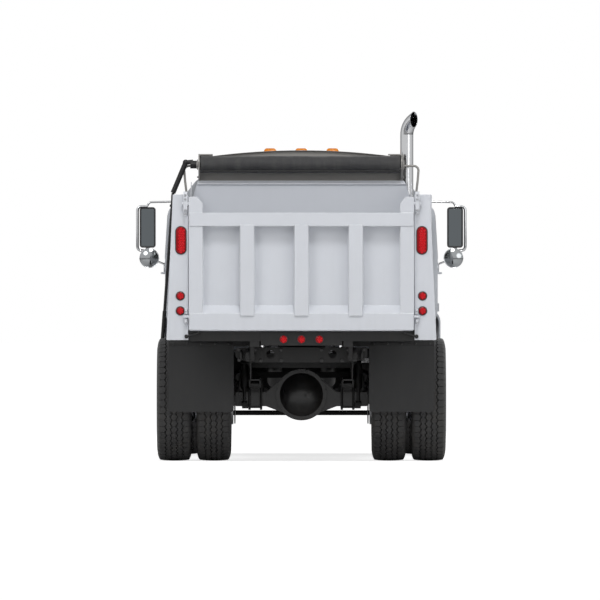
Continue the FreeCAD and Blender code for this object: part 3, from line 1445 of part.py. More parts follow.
def tailgate():
    """Ribbed gate between the corner posts, hung from its top pins."""
    half = bed_inner_half - gap
    back = tail_y
    front = gate_front_y
    plate_y = front - 8
    inner_half = half - gate_stile
    parts = [block(-half + 2, half - 2, plate_y, front, gate_bottom_z, gate_top_z)]
    for side in (-1, 1):
        stile = prism([
            (side * half, gate_bottom_z, 6), (side * half, gate_post_top_z, 14),
            (side * (half - 70), gate_post_top_z, 14), (side * inner_half, gate_post_top_z - 56, 14),
            (side * inner_half, gate_bottom_z, 6),
        ], "y", back + 14, front)
        parts.append(stile)
        top_pin = rod_x(side * (half - 20), side * (bed_inner_half + 52), back + gate_pin_inset, gate_pin_z,
                        gate_pin_radius)
        low_pin = rod_x(side * (half - 20), side * (bed_inner_half + 40), back + 30, latch_z, 13)
        parts += [top_pin, low_pin]
    top_rail = block(-half + 4, half - 4, back + 8, front, gate_rail_z, gate_top_z)
    foot_rail = prism([
        (front, gate_bottom_z), (front, gate_shed_z + 8), (plate_y, gate_shed_z + 8),
        (back + 10, gate_foot_rail_z), (back + 10, gate_bottom_z),
    ], "x", -half + 4, half - 4)
    parts += [top_rail, foot_rail]
    for x in (-gate_rib_x, 0, gate_rib_x):
        rib = prism([
            (x - gate_rib_half, front), (x - gate_rib_half, back, 8), (x + gate_rib_half, back, 8),
            (x + gate_rib_half, front),
        ], "z", gate_foot_rail_z - 20, gate_rail_z + 10)
        parts.append(rib)
    return fused(*parts)


# Tarp gear


def tarp_roller():
    """Rolled cover on its tube, with the tube's ends in the brackets."""
    y = bed_front_y - roller_y_inset
    cover = rod_x(roller_ends[0] + 26, roller_ends[1] - 26, y, roller_z, roller_radius)
    tube = rod_x(roller_ends[0] - 6, roller_ends[1] + 10, y, roller_z, 26)
    return fused(cover, tube)


def tarp_brackets():
    """End plates on the headboard's corners, their top caps, and the bent rods outside them."""
    y = bed_front_y - roller_y_inset
    rod_y_at = y + 56
    parts = []
    for side, end in ((-1, roller_ends[0]), (1, roller_ends[1])):
        outer = side * (bed_inner_half + 41)
        plate = prism([
            (y + 50, headboard_top_z, 4), (y - 60, roller_z - 30, 40), (y - 60, roller_z + 60, 40),
            (y + 74, roller_z + 60, 40),
            (bed_front_y - 2, headboard_top_z, 4),
        ], "x", end - side * 18, end - side * 6)
        plate = plate.cut(rod_x(end - 40, end + 40, y, roller_z, 26 + seat_gap))
        cap = block(end - side * 18, end - side * 130, y + 20, y + 70, roller_z + roller_radius + 4,
                    roller_z + roller_radius + 16)
        cap_web = block(end - side * 18, end - side * 6, y + 20, y + 70, roller_z + 30,
                        roller_z + roller_radius + 16)
        rod = bent_rod([
            Vec(end - side * 8, rod_y_at, roller_z - 11), Vec(outer + side * 28, rod_y_at, roller_z - 11),
            Vec(outer + side * 18, rod_y_at, headboard_top_z), Vec(outer, rod_y_at, side_top_z + 6),
        ], 10, 40)
        foot = block(outer - side * 25, outer + side * 14, rod_y_at - 16, rod_y_at + 16,
                     side_top_z, side_top_z + 12)
        parts.append(fused(plate, cap, cap_web, rod, foot))
    return parts


def wind_deflector():
    """Curved sheet in front of the roller, standing on the headboard's top edge."""
    y = bed_front_y
    half = deflector_half
    low = headboard_top_z - 60
    left = Vec(-half, y, deflector_end_z)
    right = Vec(half, y, deflector_end_z)
    middle = Vec(0, y, deflector_crown_z)
    edges = [Part.Arc(left, middle, right).toShape()]
    route = [right, Vec(half, y, low), Vec(-half, y, low), left]
    for start, end in zip(route, route[1:]):
        edges.append(Part.LineSegment(start, end).toShape())
    sheet = Part.Face(Part.Wire(edges)).extrude(Vec(0, 4, 0))
    back = Vec(0, 26, 0)
    lip = Part.Arc(left - back, middle - back, right - back).toShape()
    band = lip.extrude(back).extrude(Vec(0, 0, -4))
    return fused(sheet, band)


def tarp_crank():
    """Crank pole of the cover, down the bed's left front corner, in its clip."""
    y = bed_front_y - roller_y_inset
    knuckle_x = roller_ends[0] - 40
    ball_at, bend, grip_top, foot = [
        Vec(-x, y, z) for x, z in (crank_ball, crank_bend, crank_grip, crank_foot)]
    thick = rod_between(ball_at, bend, 22)
    thin = rod_between(bend, foot, 13)
    neck = rod_between(Vec(knuckle_x, y, roller_z + 24), ball_at, 20)
    joint = rod_x(roller_ends[0] - 8, knuckle_x - 24, y, roller_z, 34)
    ball = Part.makeSphere(26, ball_at)
    clip = block(-side_rail_half, bend.x - 28, y - 14, y + 14, side_top_z - 64, side_top_z - 44)
    grip = rod_between(grip_top, foot, 17)
    return fused(joint, neck, ball, thick, thin, clip, grip)


# Hoist

def hoist_ends():
    foot = Vec(0, hinge_y + hoist_foot[0], hinge_z + hoist_foot[1])
    head = Vec(0, hinge_y + hoist_head[0], hinge_z + hoist_head[1])
    return foot, head


def hoist_barrels():
    """Two barrels on the crossmember's pins, bored for their rods."""
    foot, head = hoist_ends()
    way = (head - foot).normalize()
    length = (head - foot).Length
    barrels = []
    for side in (-1, 1):
        at = Vec(side * hoist_x, 0, 0)
        eye = rod_x(side * (hoist_x - 32), side * (hoist_x + 32), foot.y, foot.z, 44)
        neck = rod_between(foot + at, foot + at + way * 130, 30)
        tube = rod_between(foot + at + way * 120, foot + at + way * (length - 190), hoist_barrel_radius)
        gland = rod_between(foot + at + way * (length - 250), foot + at + way * (length - 180),
                            hoist_barrel_radius + 7)
        barrel = fused(eye, neck, tube, gland)
        barrel = barrel.cut(rod_between(foot + at + way * 300, foot + at + way * length,
                                        hoist_rod_radius + seat_gap))
        barrels.append(barrel.cut(rod_x(side * 160, side * 300, foot.y, foot.z, 24 + pin_gap)))
    return barrels


def hoist_rods():
    """Two rods with their head eyes, which carry the pins between the bed's ears."""
    foot, head = hoist_ends()
    way = (head - foot).normalize()
    rods = []
    for side in (-1, 1):
        at = Vec(side * hoist_x, 0, 0)
        rod = rod_between(foot + at + way * 330, head + at, hoist_rod_radius)
        eye = rod_x(side * (hoist_x - 33), side * (hoist_x + 33), head.y, head.z, 46)
        rods.append(fused(rod, eye))
    return rods


# Mud flaps


def mud_flaps():
    flap = prism([
        (flap_inner, flap_foot_z, 25), (flap_inner, flap_top_z, 6), (flap_outer, flap_top_z, 6),
        (flap_outer, flap_foot_z, 25),
    ], "y", flap_y - 8, flap_y)
    return both_sides(flap)


def flap_hangers():
    """Angle bars off the rails that carry the flaps."""
    bar = block(frame_half, flap_outer, flap_y, flap_y + 44, flap_top_z - 50, flap_top_z - 42)
    face = block(frame_half, flap_outer, flap_y, flap_y + 8, flap_top_z - 50, flap_top_z)
    foot = prism([
        (flap_y, flap_top_z), (flap_y, rail_top_z - 160), (flap_y + 90, rail_top_z - 160),
        (flap_y + 90, rail_top_z - 20), (flap_y + 44, flap_top_z),
    ], "x", frame_half, frame_half + 10)
    return both_sides(fused(bar, face, foot))


# Nodes

def write(name, shapes):
    """One file per node, with every solid of that node."""
    solids = []
    for shape in shapes:
        solids += shape.Solids
    whole = solids[0] if len(solids) == 1 else Part.makeCompound(solids)
    whole.exportStep("parts/" + name + ".step")


def nodes():
    found = {}
    for word, side in (("left", -1), ("right", 1)):
        found["frame_rail_" + word] = [frame_rail() if side > 0 else mirrored(frame_rail())]
        found["knuckle_" + word] = [knuckle() if side > 0 else mirrored(knuckle())]
        tyre_front = tyre(front_tyre_x, front_axle_y)
        found["front_tyre_" + word] = [tyre_front if side > 0 else mirrored(tyre_front)]
        found["front_wheel_" + word] = [front_wheel() if side > 0 else mirrored(front_wheel())]
        tyres = [tyre(inner_tyre_x, rear_axle_y), tyre(outer_tyre_x, rear_axle_y)]
        found["rear_tyres_" + word] = tyres if side > 0 else [mirrored(t) for t in tyres]
        found["rear_wheels_" + word] = [rear_wheels() if side > 0 else mirrored(rear_wheels())]
        found["door_" + word] = [door(side)]
        found["door_glass_" + word] = [door_glass(side)]
        found["mirror_" + word] = [mirror(side)]
        found["bed_side_" + word] = [bed_side(side)]
    found["crossmembers"] = crossmembers()
    found["sill_liners"] = sill_liners()
    found["rear_plate"] = [rear_plate()]
    found["mud_flaps"] = mud_flaps()
    found["flap_hangers"] = flap_hangers()
    found["leaf_springs"] = leaf_springs()
    found["shock_absorbers"] = shock_absorbers()
    found["rear_axle"] = [rear_axle()]
    found["front_axle"] = [front_axle()]
    found["tie_rod"] = [tie_rod()]
    found["engine"] = [engine()]
    found["radiator"] = [radiator()]
    found["driveshaft"] = [driveshaft()]
    found["fuel_tank"] = [fuel_tank()]
    found["battery_box"] = [battery_box()]
    found["air_tanks"] = air_tanks()
    found["exhaust_stack"] = [exhaust_stack()]
    found["front_bumper"] = [front_bumper()]
    found["hood"] = [hood()]
    found["grille"] = [grille()]
    found["headlamps"] = headlamps()
    found["cab"] = [cab()]
    found["cab_glass"] = cab_glass()
    found["cab_interior"] = cab_interior()
    found["roof_lamps"] = roof_lamps()
    found["bed_floor"] = [bed_floor()]
    found["bed_headboard"] = [bed_headboard()]
    found["bed_underframe"] = [bed_underframe()]
    found["rear_lamps"] = rear_lamps()
    found["tailgate"] = [tailgate()]
    found["tarp_roller"] = [tarp_roller()]
    found["tarp_brackets"] = tarp_brackets()
    found["wind_deflector"] = [wind_deflector()]
    found["tarp_crank"] = [tarp_crank()]
    found["hoist_barrels"] = hoist_barrels()
    found["hoist_rods"] = hoist_rods()
    return found


os.makedirs("parts", exist_ok=True)
for node_name, node_shapes in nodes().items():
    write(node_name, node_shapes)
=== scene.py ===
"""The looks of a single-axle dump truck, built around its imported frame."""
import math
import random

import bmesh
import bpy
from mathutils import Matrix, Vector


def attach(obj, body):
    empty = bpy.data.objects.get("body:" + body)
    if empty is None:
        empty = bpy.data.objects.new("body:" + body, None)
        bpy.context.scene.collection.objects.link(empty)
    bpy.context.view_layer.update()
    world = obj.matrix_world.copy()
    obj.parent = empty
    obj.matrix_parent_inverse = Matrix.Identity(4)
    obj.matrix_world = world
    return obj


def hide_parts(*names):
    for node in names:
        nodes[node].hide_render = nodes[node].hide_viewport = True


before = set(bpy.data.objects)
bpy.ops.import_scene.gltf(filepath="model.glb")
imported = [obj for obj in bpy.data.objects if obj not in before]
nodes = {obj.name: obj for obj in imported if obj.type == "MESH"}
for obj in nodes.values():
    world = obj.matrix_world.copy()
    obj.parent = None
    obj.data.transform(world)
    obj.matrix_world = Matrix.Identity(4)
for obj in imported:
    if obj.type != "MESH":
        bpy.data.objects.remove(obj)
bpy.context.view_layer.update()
scene = bpy.context.scene
chance = random.Random(11)

SIDES = ((-1, "left"), (1, "right"))
BACKWARD = (0, -1, 0)

# Places of the frame, in metres
AXLE_Z = 0.5225
FRONT_Y = 2.200
REAR_Y = -1.780
OUTER_TYRE_X = 1.0775
INNER_TYRE_X = 0.7425
FRONT_TYRE_X = 1.030
TYRE_RADIUS = 0.5225
TREAD_HALF = 0.119
DISC_OFFSET = 0.1675           # from a tyre's middle to its wheel's disc
TAIL_Y = -3.150
POST_Y = -3.100                # rear faces of the bed's posts
CAB_HALF = 1.185
SHOULDER_HALF = 1.150
BELT_Z = 1.750
SHOULDER_Z = 2.280
CAB_ROOF_Z = 2.632
ROOF_DRAW = 0.150              # how much narrower the roof is than the shoulder
# Share of its half width that the drawn-in cab keeps at each height
DRAW_STEPS = ((2.100, 1.000), (2.150, 0.992), (2.190, 0.966), (2.230, 0.925), (2.280, 0.884), (2.340, 0.858),
              (2.400, 0.834), (2.440, 0.795), (2.480, 0.739), (2.540, 0.648), (2.600, 0.570), (2.700, 0.540))


def shade(seen):
    """A colour as seen, 0 to 255, turned into the linear values that shaders take."""
    linear = [((c / 255 + 0.055) / 1.055) ** 2.4 if c > 10 else c / 255 / 12.92 for c in seen]
    return (*linear, 1.0)


# Shader helpers

def put(tree, kind, values=None, **settings):
    """Adds a node, with its settings and with its inputs set or linked."""
    made = tree.nodes.new("ShaderNode" + kind)
    for name, value in settings.items():
        setattr(made, name, value)
    for key, value in (values or {}).items():
        if isinstance(value, bpy.types.NodeSocket):
            tree.links.new(value, made.inputs[key])
        else:
            made.inputs[key].default_value = value
    return made


def calc(tree, operation, first, second, clamp=False):
    """One sum of two values."""
    return put(tree, "Math", {0: first, 1: second}, operation=operation, use_clamp=clamp).outputs[0]


def spread(tree, value, low, high, to_low=0.0, to_high=1.0):
    """Maps a value's range to another one, and stops at its ends."""
    return put(tree, "MapRange", {
        "Value": value, "From Min": low, "From Max": high, "To Min": to_low, "To Max": to_high,
    }, clamp=True).outputs[0]


def mix_colour(tree, share, first, second, blend="MIX"):
    """Two colours mixed, or multiplied."""
    made = put(tree, "Mix", {0: share, 6: first, 7: second}, data_type="RGBA", blend_type=blend)
    return made.outputs[2]


def own_place(tree):
    """The object's own coordinates."""
    return put(tree, "TexCoord").outputs["Object"]


def noise(tree, scale, detail, stretch=None, rough=0.5):
    """Noise on the object's own coordinates, stretched or not."""
    place = own_place(tree)
    if stretch is not None:
        place = put(tree, "Mapping", {"Vector": place, "Scale": stretch}).outputs[0]
    return put(tree, "TexNoise", {"Vector": place, "Scale": scale, "Detail": detail,
                                  "Roughness": rough}).outputs[0]


def start_group(name, inputs, outputs):
    """A shader group with its named inputs and outputs."""
    group = bpy.data.node_groups.new(name, "ShaderNodeTree")
    for label, default in inputs:
        made = group.interface.new_socket(label, in_out="INPUT", socket_type="NodeSocketFloat")
        made.default_value = default
    for label, kind in outputs:
        group.interface.new_socket(label, in_out="OUTPUT", socket_type="NodeSocket" + kind)
    return group, group.nodes.new("NodeGroupInput").outputs, group.nodes.new("NodeGroupOutput").inputs


def use(tree, group, values):
    """Places a group in a material with its own values."""
    return put(tree, "Group", values, node_tree=group).outputs


def edge_group():
    """Softly rounded edges, and a mask along them for rubbed-off paint and for painted highlights."""
    group, given, result = start_group("Worn and highlighted edges", [("Radius", 0.004), ("Scale", 18.0), ("Amount", 0.5)],
                                       [("Mask", "Float"), ("Normal", "Vector")])
    rounded = put(group, "Bevel", {"Radius": given["Radius"]}, samples=4).outputs[0]
    plain = put(group, "NewGeometry").outputs["Normal"]
    along = put(group, "VectorMath", {0: rounded, 1: plain}, operation="DOT_PRODUCT").outputs["Value"]
    edge = spread(group, along, 0.985, 0.82)
    mask = calc(group, "MULTIPLY", edge, spread(group, noise(group, given["Scale"], 4.0), 0.35, 0.62))
    group.links.new(calc(group, "MULTIPLY", mask, given["Amount"]), result["Mask"])
    group.links.new(rounded, result["Normal"])
    return group


def dust_group():
    """Road dust: thick low down, thin and streaked above."""
    group, given, result = start_group("Road dust", [("Top", 1.6), ("Amount", 0.4)], [("Mask", "Float")])
    height = put(group, "SeparateXYZ", {0: own_place(group)}).outputs["Z"]
    low = spread(group, calc(group, "DIVIDE", height, given["Top"]), 0.1, 1.0, 1.0, 0.12)
    blots = noise(group, 5.0, 6.0, rough=0.62)
    streaks = noise(group, 9.0, 3.0, (3.0, 3.0, 0.25))
    pattern = calc(group, "MULTIPLY", spread(group, blots, 0.3, 0.75), spread(group, streaks, 0.25, 0.7))
    mask = calc(group, "MULTIPLY", calc(group, "MULTIPLY", low, pattern), given["Amount"], clamp=True)
    group.links.new(mask, result["Mask"])
    return group


def mottle_group():
    """A slow change of tone over a surface, as a factor near 1."""
    group, given, result = start_group("Tone", [("Scale", 1.4), ("Change", 0.06)], [("Factor", "Float")])
    slow = noise(group, given["Scale"], 5.0, rough=0.6)
    swing = calc(group, "MULTIPLY", calc(group, "SUBTRACT", slow, 0.5), given["Change"])
    group.links.new(calc(group, "ADD", calc(group, "MULTIPLY", swing, 2.0), 1.0), result["Factor"])
    return group


def grain_group():
    """Fine surface height, from sprayed paint to cast iron, by its scale."""
    group, given, result = start_group("Grain", [("Scale", 300.0), ("Coarse", 0.3)], [("Height", "Float")])
    wide = calc(group, "MULTIPLY", noise(group, 26.0, 3.0), given["Coarse"])
    group.links.new(calc(group, "ADD", noise(group, given["Scale"], 2.0), wide), result["Height"])
    return group


ACROSS = ("Across X", "Across Y", "Across Z")


def brush_group():
    """Fine scratches along X, Y or Z, chosen by the stretch of each."""
    group, given, result = start_group("Brushed", [(way, 1.0) for way in ACROSS], [("Height", "Float")])
    scale = put(group, "CombineXYZ", {i: given[way] for i, way in enumerate(ACROSS)}).outputs[0]
    group.links.new(noise(group, 260.0, 3.0, scale), result["Height"])
    return group


WORN_AND_HIGHLIGHTED_EDGES = edge_group()
ROAD_DUST = dust_group()
TONE = mottle_group()
GRAIN = grain_group()
BRUSHED = brush_group()


# Materials: every colour as it is seen, 0 to 255

BARE_METAL = (224.61, 225.93, 228.54)
ROAD_BROWN = (150, 138, 120)
BUMP_DEPTH = 0.0012
EDGE_MARK_SCALE = 18.0
COAT_ROUGH = 0.08
DUST_ROUGH = 0.45              # added where dust lies
BRUSH_ROUGH = 0.12             # added along brushed lines


def toned(tree, colour, scale, change):
    """A colour with a slow change of tone, and the factor of that change."""
    factor = use(tree, TONE, {"Scale": scale, "Change": change})["Factor"]
    grey = put(tree, "CombineXYZ", {0: factor, 1: factor, 2: factor}).outputs[0]
    return mix_colour(tree, 1.0, shade(colour), grey, "MULTIPLY"), factor


def inside(material):
    """A material's node tree and its shader."""
    return material.node_tree, material.node_tree.nodes["Principled BSDF"]


def start_material(name):
    """A new material with its node tree and shader."""
    made = bpy.data.materials.new(name)
    made.use_nodes = True
    return (made, *inside(made))


def overlay(material, mask, colour):
    """Lays a second colour over a material's own, by a mask."""
    tree, shader = inside(material)
    base = shader.inputs["Base Color"]
    tree.links.new(mix_colour(tree, mask, base.links[0].from_socket, shade(colour)), base)
    return material


def finish(name, colour, rough, metallic=0.0, coat=0.0, wear_and_highlight=0.0, wear_and_highlight_colour=BARE_METAL, edge=0.003,
           dust=0.0, dust_top=1.6, dust_colour=ROAD_BROWN, tone=0.05, tone_scale=1.4, grain=300.0, bump=0.05,
           brush=None, specular=0.5):
    """A solid finish: its colour with tone, edge wear and painted edge highlights, and dust, and its fine
    surface.
    """
    made, tree, shader = start_material(name)
    tinted, factor = toned(tree, colour, tone_scale, tone)
    edge_marks = use(tree, WORN_AND_HIGHLIGHTED_EDGES, {"Radius": edge, "Amount": wear_and_highlight, "Scale": EDGE_MARK_SCALE})
    # Edge colour along the mask: worn paint, and on the bed a painted highlight.
    if wear_and_highlight:
        tinted = mix_colour(tree, edge_marks["Mask"], tinted, shade(wear_and_highlight_colour))
    roughness = calc(tree, "MULTIPLY", factor, rough)
    if dust:
        dirt = use(tree, ROAD_DUST, {"Top": dust_top, "Amount": dust})["Mask"]
        tinted = mix_colour(tree, dirt, tinted, shade(dust_colour))
        roughness = calc(tree, "ADD", roughness, calc(tree, "MULTIPLY", dirt, DUST_ROUGH), clamp=True)
    if brush:
        height = use(tree, BRUSHED, dict(zip(ACROSS, brush)))["Height"]
        streaks = calc(tree, "MULTIPLY", height, BRUSH_ROUGH)
        roughness = calc(tree, "ADD", roughness, streaks, clamp=True)
    else:
        height = use(tree, GRAIN, {"Scale": grain})["Height"]
    relief = put(tree, "Bump", {"Strength": bump, "Distance": BUMP_DEPTH, "Height": height,
                                "Normal": edge_marks["Normal"]}).outputs[0]
    tree.links.new(tinted, shader.inputs["Base Color"])
    tree.links.new(roughness, shader.inputs["Roughness"])
    tree.links.new(relief, shader.inputs["Normal"])
    shader.inputs["Metallic"].default_value = metallic
    shader.inputs["Coat Weight"].default_value = coat
    shader.inputs["Coat Roughness"].default_value = COAT_ROUGH
    shader.inputs["Specular IOR Level"].default_value = specular
    return made


def clear(name, colour, ior=1.45):
    """Glass or a moulded lens, with a faint ripple."""
    made, tree, shader = start_material(name)
    tree.links.new(toned(tree, colour, 2.0, 0.03)[0], shader.inputs["Base Color"])
    relief = put(tree, "Bump", {"Strength": 0.02, "Distance": 0.001, "Height": noise(tree, 9.0, 1.0)})
    tree.links.new(relief.outputs[0], shader.inputs["Normal"])
    shader.inputs["Roughness"].default_value = 0.02
    shader.inputs["IOR"].default_value = ior
    shader.inputs["Transmission Weight"].default_value = 1.0
    return made


def lens(name, colour, glow):
    """Coloured lamp plastic that lets some light through."""
    made = finish(name, colour, 0.22, tone_scale=30.0, grain=500.0, bump=0.03, specular=0.22)
    shader = inside(made)[1]
    shader.inputs["Emission Color"].default_value = shade(colour)
    shader.inputs["Emission Strength"].default_value = glow
    return made


def mesh_cover():
    """Black tarpaulin mesh: a fine woven grid with a soft sheen."""
    made = finish("tarp_mesh_cloth", (38, 38, 40), 0.62, tone=0.16, tone_scale=2.2, dust=0.25,
                  dust_top=9.0, dust_colour=(120, 118, 112), bump=0.0)
    tree, shader = inside(made)
    place = own_place(tree)
    across, along = (put(tree, "TexWave", {"Vector": place, "Scale": 90.0, "Distortion": 0.6},
                         bands_direction=way).outputs["Fac"] for way in "XZ")
    weave = calc(tree, "MAXIMUM", across, along)
    folds = calc(tree, "MULTIPLY", noise(tree, 6.0, 4.0, (1.0, 6.0, 6.0)), 2.0)
    height = calc(tree, "ADD", calc(tree, "MULTIPLY", weave, 0.25), folds)
    relief = put(tree, "Bump", {"Strength": 0.55, "Distance": 0.004, "Height": height}).outputs[0]
    tree.links.new(relief, shader.inputs["Normal"])
    shader.inputs["Sheen Weight"].default_value = 0.12
    return made


def chrome_with_painted_reflection(name, colour, painted_reflection_colour, start, end):
    """Bright metal with a painted reflection: its colour changes toward its turned-away edges."""
    made = finish(name, colour, 0.10, metallic=1.0, tone_scale=6.0, bump=0.006, edge=0.001)
    tree = made.node_tree
    away = put(tree, "LayerWeight", {"Blend": 0.5}).outputs["Facing"]
    return overlay(made, spread(tree, away, start, end), painted_reflection_colour)


def oak_plank():
    """Weathered wood with its grain along the rails."""
    made = finish("oak_liner", (128, 104, 76), 0.7, tone=0.2, tone_scale=6.0, dust=0.4, dust_top=4.0)
    tree = made.node_tree
    rings = noise(tree, 26.0, 5.0, (6.0, 0.35, 6.0))
    return overlay(made, spread(tree, rings, 0.45, 0.6), (78, 60, 42))


PAINT = {
    # The bed's near-white edge colour is a painted highlight along its edges.
    "bed": finish("bed_enamel", (201, 204, 210), 0.42, coat=0.15, wear_and_highlight=0.8, edge=0.007, dust=0.22, dust_top=2.0,
                  dust_colour=(150, 150, 148), wear_and_highlight_colour=(246, 247, 249)),
    "cab": finish("cab_enamel", (196, 200, 206), 0.28, coat=0.5, wear_and_highlight=0.08, edge=0.006, dust=0.12, dust_top=1.9,
                  tone=0.03, bump=0.02, wear_and_highlight_colour=(225, 227, 230)),
    "frame": finish("frame_enamel", (21, 21, 22), 0.48, wear_and_highlight=0.3, dust=0.14, dust_colour=(92, 86, 76),
                    wear_and_highlight_colour=(64, 64, 64), bump=0.12, specular=0.35),
    "iron": finish("axle_iron_enamel", (26, 26, 27), 0.27, wear_and_highlight=0.25, edge=0.004, dust=0.3, dust_top=1.2,
                   dust_colour=(84, 78, 70), wear_and_highlight_colour=(80, 80, 80), grain=140.0, bump=0.25),
    "engine": finish("engine_enamel", (52, 58, 66), 0.45, wear_and_highlight=0.2, edge=0.004, dust=0.4, dust_top=2.2,
                     grain=120.0, bump=0.25),
    "steel": finish("zinc_steel", (176, 178, 182), 0.34, metallic=0.9, wear_and_highlight=0.1, edge=0.002, dust=0.25,
                    tone=0.12, tone_scale=9.0, bump=0.08),
    "grey": finish("galvanised_grey", (148, 146, 143), 0.5, metallic=0.3, wear_and_highlight=0.15, dust=0.2, dust_top=4.0,
                   tone=0.1, tone_scale=7.0, bump=0.08),
    "chrome": finish("chrome_plate", (226, 227, 229), 0.07, metallic=1.0, edge=0.002, dust=0.1, tone=0.02,
                     bump=0.004),
    "alloy": finish("polished_alloy", (220, 221, 224), 0.16, metallic=1.0, edge=0.002, dust=0.22, dust_top=1.3,
                    bump=0.01),
    "brushed": finish("brushed_alloy", (196, 198, 202), 0.32, metallic=0.95, dust=0.2, brush=(0.6, 0.02, 0.6),
                      bump=0.08),
    "rod": finish("ground_rod", (214, 215, 218), 0.1, metallic=1.0, edge=0.001, brush=(1.0, 0.05, 1.0),
                  bump=0.02),
    "tyre": finish("tyre_rubber", (50, 50, 51), 0.72, dust=0.5, dust_top=1.2, dust_colour=(96, 92, 86),
                   tone=0.12, tone_scale=3.0, grain=420.0, bump=0.3, edge=0.002, wear_and_highlight=0.1,
                   wear_and_highlight_colour=(70, 70, 70)),
    "flap": finish("flap_rubber", (28, 28, 29), 0.6, dust=0.2, dust_top=1.3, dust_colour=(72, 71, 68), tone=0.1,
                   tone_scale=2.0, grain=260.0, bump=0.25, edge=0.002),
    "seal": finish("black_rubber", (24, 24, 25), 0.6, tone=0.1, grain=200.0, bump=0.1, edge=0.001),
    "plastic": finish("grained_plastic", (34, 34, 36), 0.5, tone=0.08, grain=700.0, bump=0.35, edge=0.002),
    "vinyl": finish("seat_vinyl", (72, 73, 76), 0.55, tone=0.12, tone_scale=4.0, grain=520.0, bump=0.4,
                    edge=0.004),
    "liner": finish("cab_lining", (110, 110, 108), 0.85, tone=0.1, tone_scale=5.0, grain=900.0, bump=0.5),
    "gauge": finish("gauge_faces", (210, 210, 204), 0.4, bump=0.02),
    # The flat mirror's dark grey colour is a painted dark reflection.
    "mirror": finish("mirror_dark_painted_reflection", (98, 103, 106), 0.03, metallic=1.0, tone=0.01, bump=0.0),
    "reflector": finish("lamp_reflector", (224, 224, 226), 0.12, metallic=1.0, tone=0.02, bump=0.01),
    "red": lens("red_lamp_lens", (206, 14, 26), 0.06),
    "red_dark": lens("red_lamp_base", (138, 8, 15), 0.02),
    "amber": lens("amber_lamp_lens", (226, 132, 22), 0.04),
    "glass": clear("cab_window_glass", (236, 243, 240)),
    "lamp_glass": clear("headlamp_glass", (246, 247, 249), ior=1.4),
    # Painted reflection: the chrome tubes and stack darken toward their turned-away edges.
    "chrome_tube_painted_reflection": chrome_with_painted_reflection("chrome_tube_painted_reflection", (206, 207, 209), (58, 59, 61), 0.25, 0.75),
    # Painted reflection: the convex mirror lightens toward its turned-away edges.
    "convex": chrome_with_painted_reflection("convex_silver_painted_reflection", (160, 163, 165), (226, 227, 229), 0.22, 0.50),
    "cover": mesh_cover(),
    "oak": oak_plank(),
    # The bed's enamel made lighter: a painted highlight along the beads and the headboard's lip bar.
    "weld": finish("weld_enamel_painted_highlight", (212, 214, 219), 0.4, coat=0.1, tone=0.08, tone_scale=40.0, grain=160.0,
                   bump=0.4, edge=0.001),
}

NODE_FINISHES = {
    "frame": ["frame_rail_left", "frame_rail_right", "crossmembers", "rear_plate", "flap_hangers",
              "leaf_springs", "shock_absorbers", "driveshaft", "battery_box", "air_tanks", "front_bumper",
              "tie_rod", "bed_underframe", "tarp_crank", "hoist_barrels", "fuel_tank"],
    "iron": ["rear_axle", "front_axle", "knuckle_left", "knuckle_right"],
    "engine": ["engine"],
    "oak": ["sill_liners"],
    "flap": ["mud_flaps"],
    "brushed": ["radiator"],
    "chrome_tube_painted_reflection": ["exhaust_stack"],
    "chrome": ["grille"],
    "cab": ["cab", "door_left", "door_right", "hood"],
    "glass": ["cab_glass", "door_glass_left", "door_glass_right"],
    "plastic": ["cab_interior", "mirror_left", "mirror_right"],
    "amber": ["roof_lamps"],
    "alloy": ["front_wheel_left", "front_wheel_right", "rear_wheels_left", "rear_wheels_right"],
    "tyre": ["front_tyre_left", "front_tyre_right", "rear_tyres_left", "rear_tyres_right"],
    "lamp_glass": ["headlamps"],
    "bed": ["bed_floor", "bed_side_left", "bed_side_right", "bed_headboard", "tailgate"],
    "red": ["rear_lamps"],
    "cover": ["tarp_roller"],
    "grey": ["tarp_brackets", "wind_deflector"],
    "rod": ["hoist_rods"],
}
for finish_name, members in NODE_FINISHES.items():
    for node_name in members:
        mesh = nodes[node_name].data
        mesh.materials.clear()
        mesh.materials.append(PAINT[finish_name])


# Mesh helpers

CORNER_STEPS = 8
BEND_STEPS = 6
JOIN = 1e-6                    # verts nearer than this are one


def add_piece(name, bm, paint, body, sharp=35.0, replaces=()):
    """Turns a bmesh into a piece that rides on a body."""
    mesh = bpy.data.meshes.new(name)
    bmesh.ops.recalc_face_normals(bm, faces=bm.faces)
    bm.to_mesh(mesh)
    bm.free()
    mesh.materials.append(PAINT[paint])
    mesh.shade_smooth()
    mesh.set_sharp_from_angle(angle=math.radians(sharp))
    made = bpy.data.objects.new(name, mesh)
    scene.collection.objects.link(made)
    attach(made, body)
    if replaces:
        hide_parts(*replaces)
    return made


def fresh(count):
    """A few empty meshes."""
    return [bmesh.new() for _ in range(count)]


def edges_of(verts):
    """The edges that meet a set of verts."""
    return {edge for vert in verts for edge in vert.link_edges}


def round_off(bm, edges, offset, segments=2):
    """Rounds a set of edges."""
    bmesh.ops.bevel(bm, geom=list(edges), offset=offset, segments=segments, affect="EDGES", profile=0.5,
                    material=-1)


def box(bm, low, high, bevel=0.0, segments=2):
    """A block between two corners given in any order, with its edges rounded."""
    pairs = list(zip(low, high))
    low, high = Vector([min(pair) for pair in pairs]), Vector([max(pair) for pair in pairs])
    place = Matrix.Translation((low + high) / 2) @ Matrix.Diagonal((*(high - low), 1.0))
    made = bmesh.ops.create_cube(bm, size=1.0, matrix=place)["verts"]
    if bevel:
        round_off(bm, edges_of(made), bevel, segments)
    return made


def aimed(spot, way):
    """Placement at a spot, with a form's Z axis turned along a way."""
    return Matrix.Translation(Vector(spot)) @ Vector(way).to_track_quat("Z", "Y").to_matrix().to_4x4()


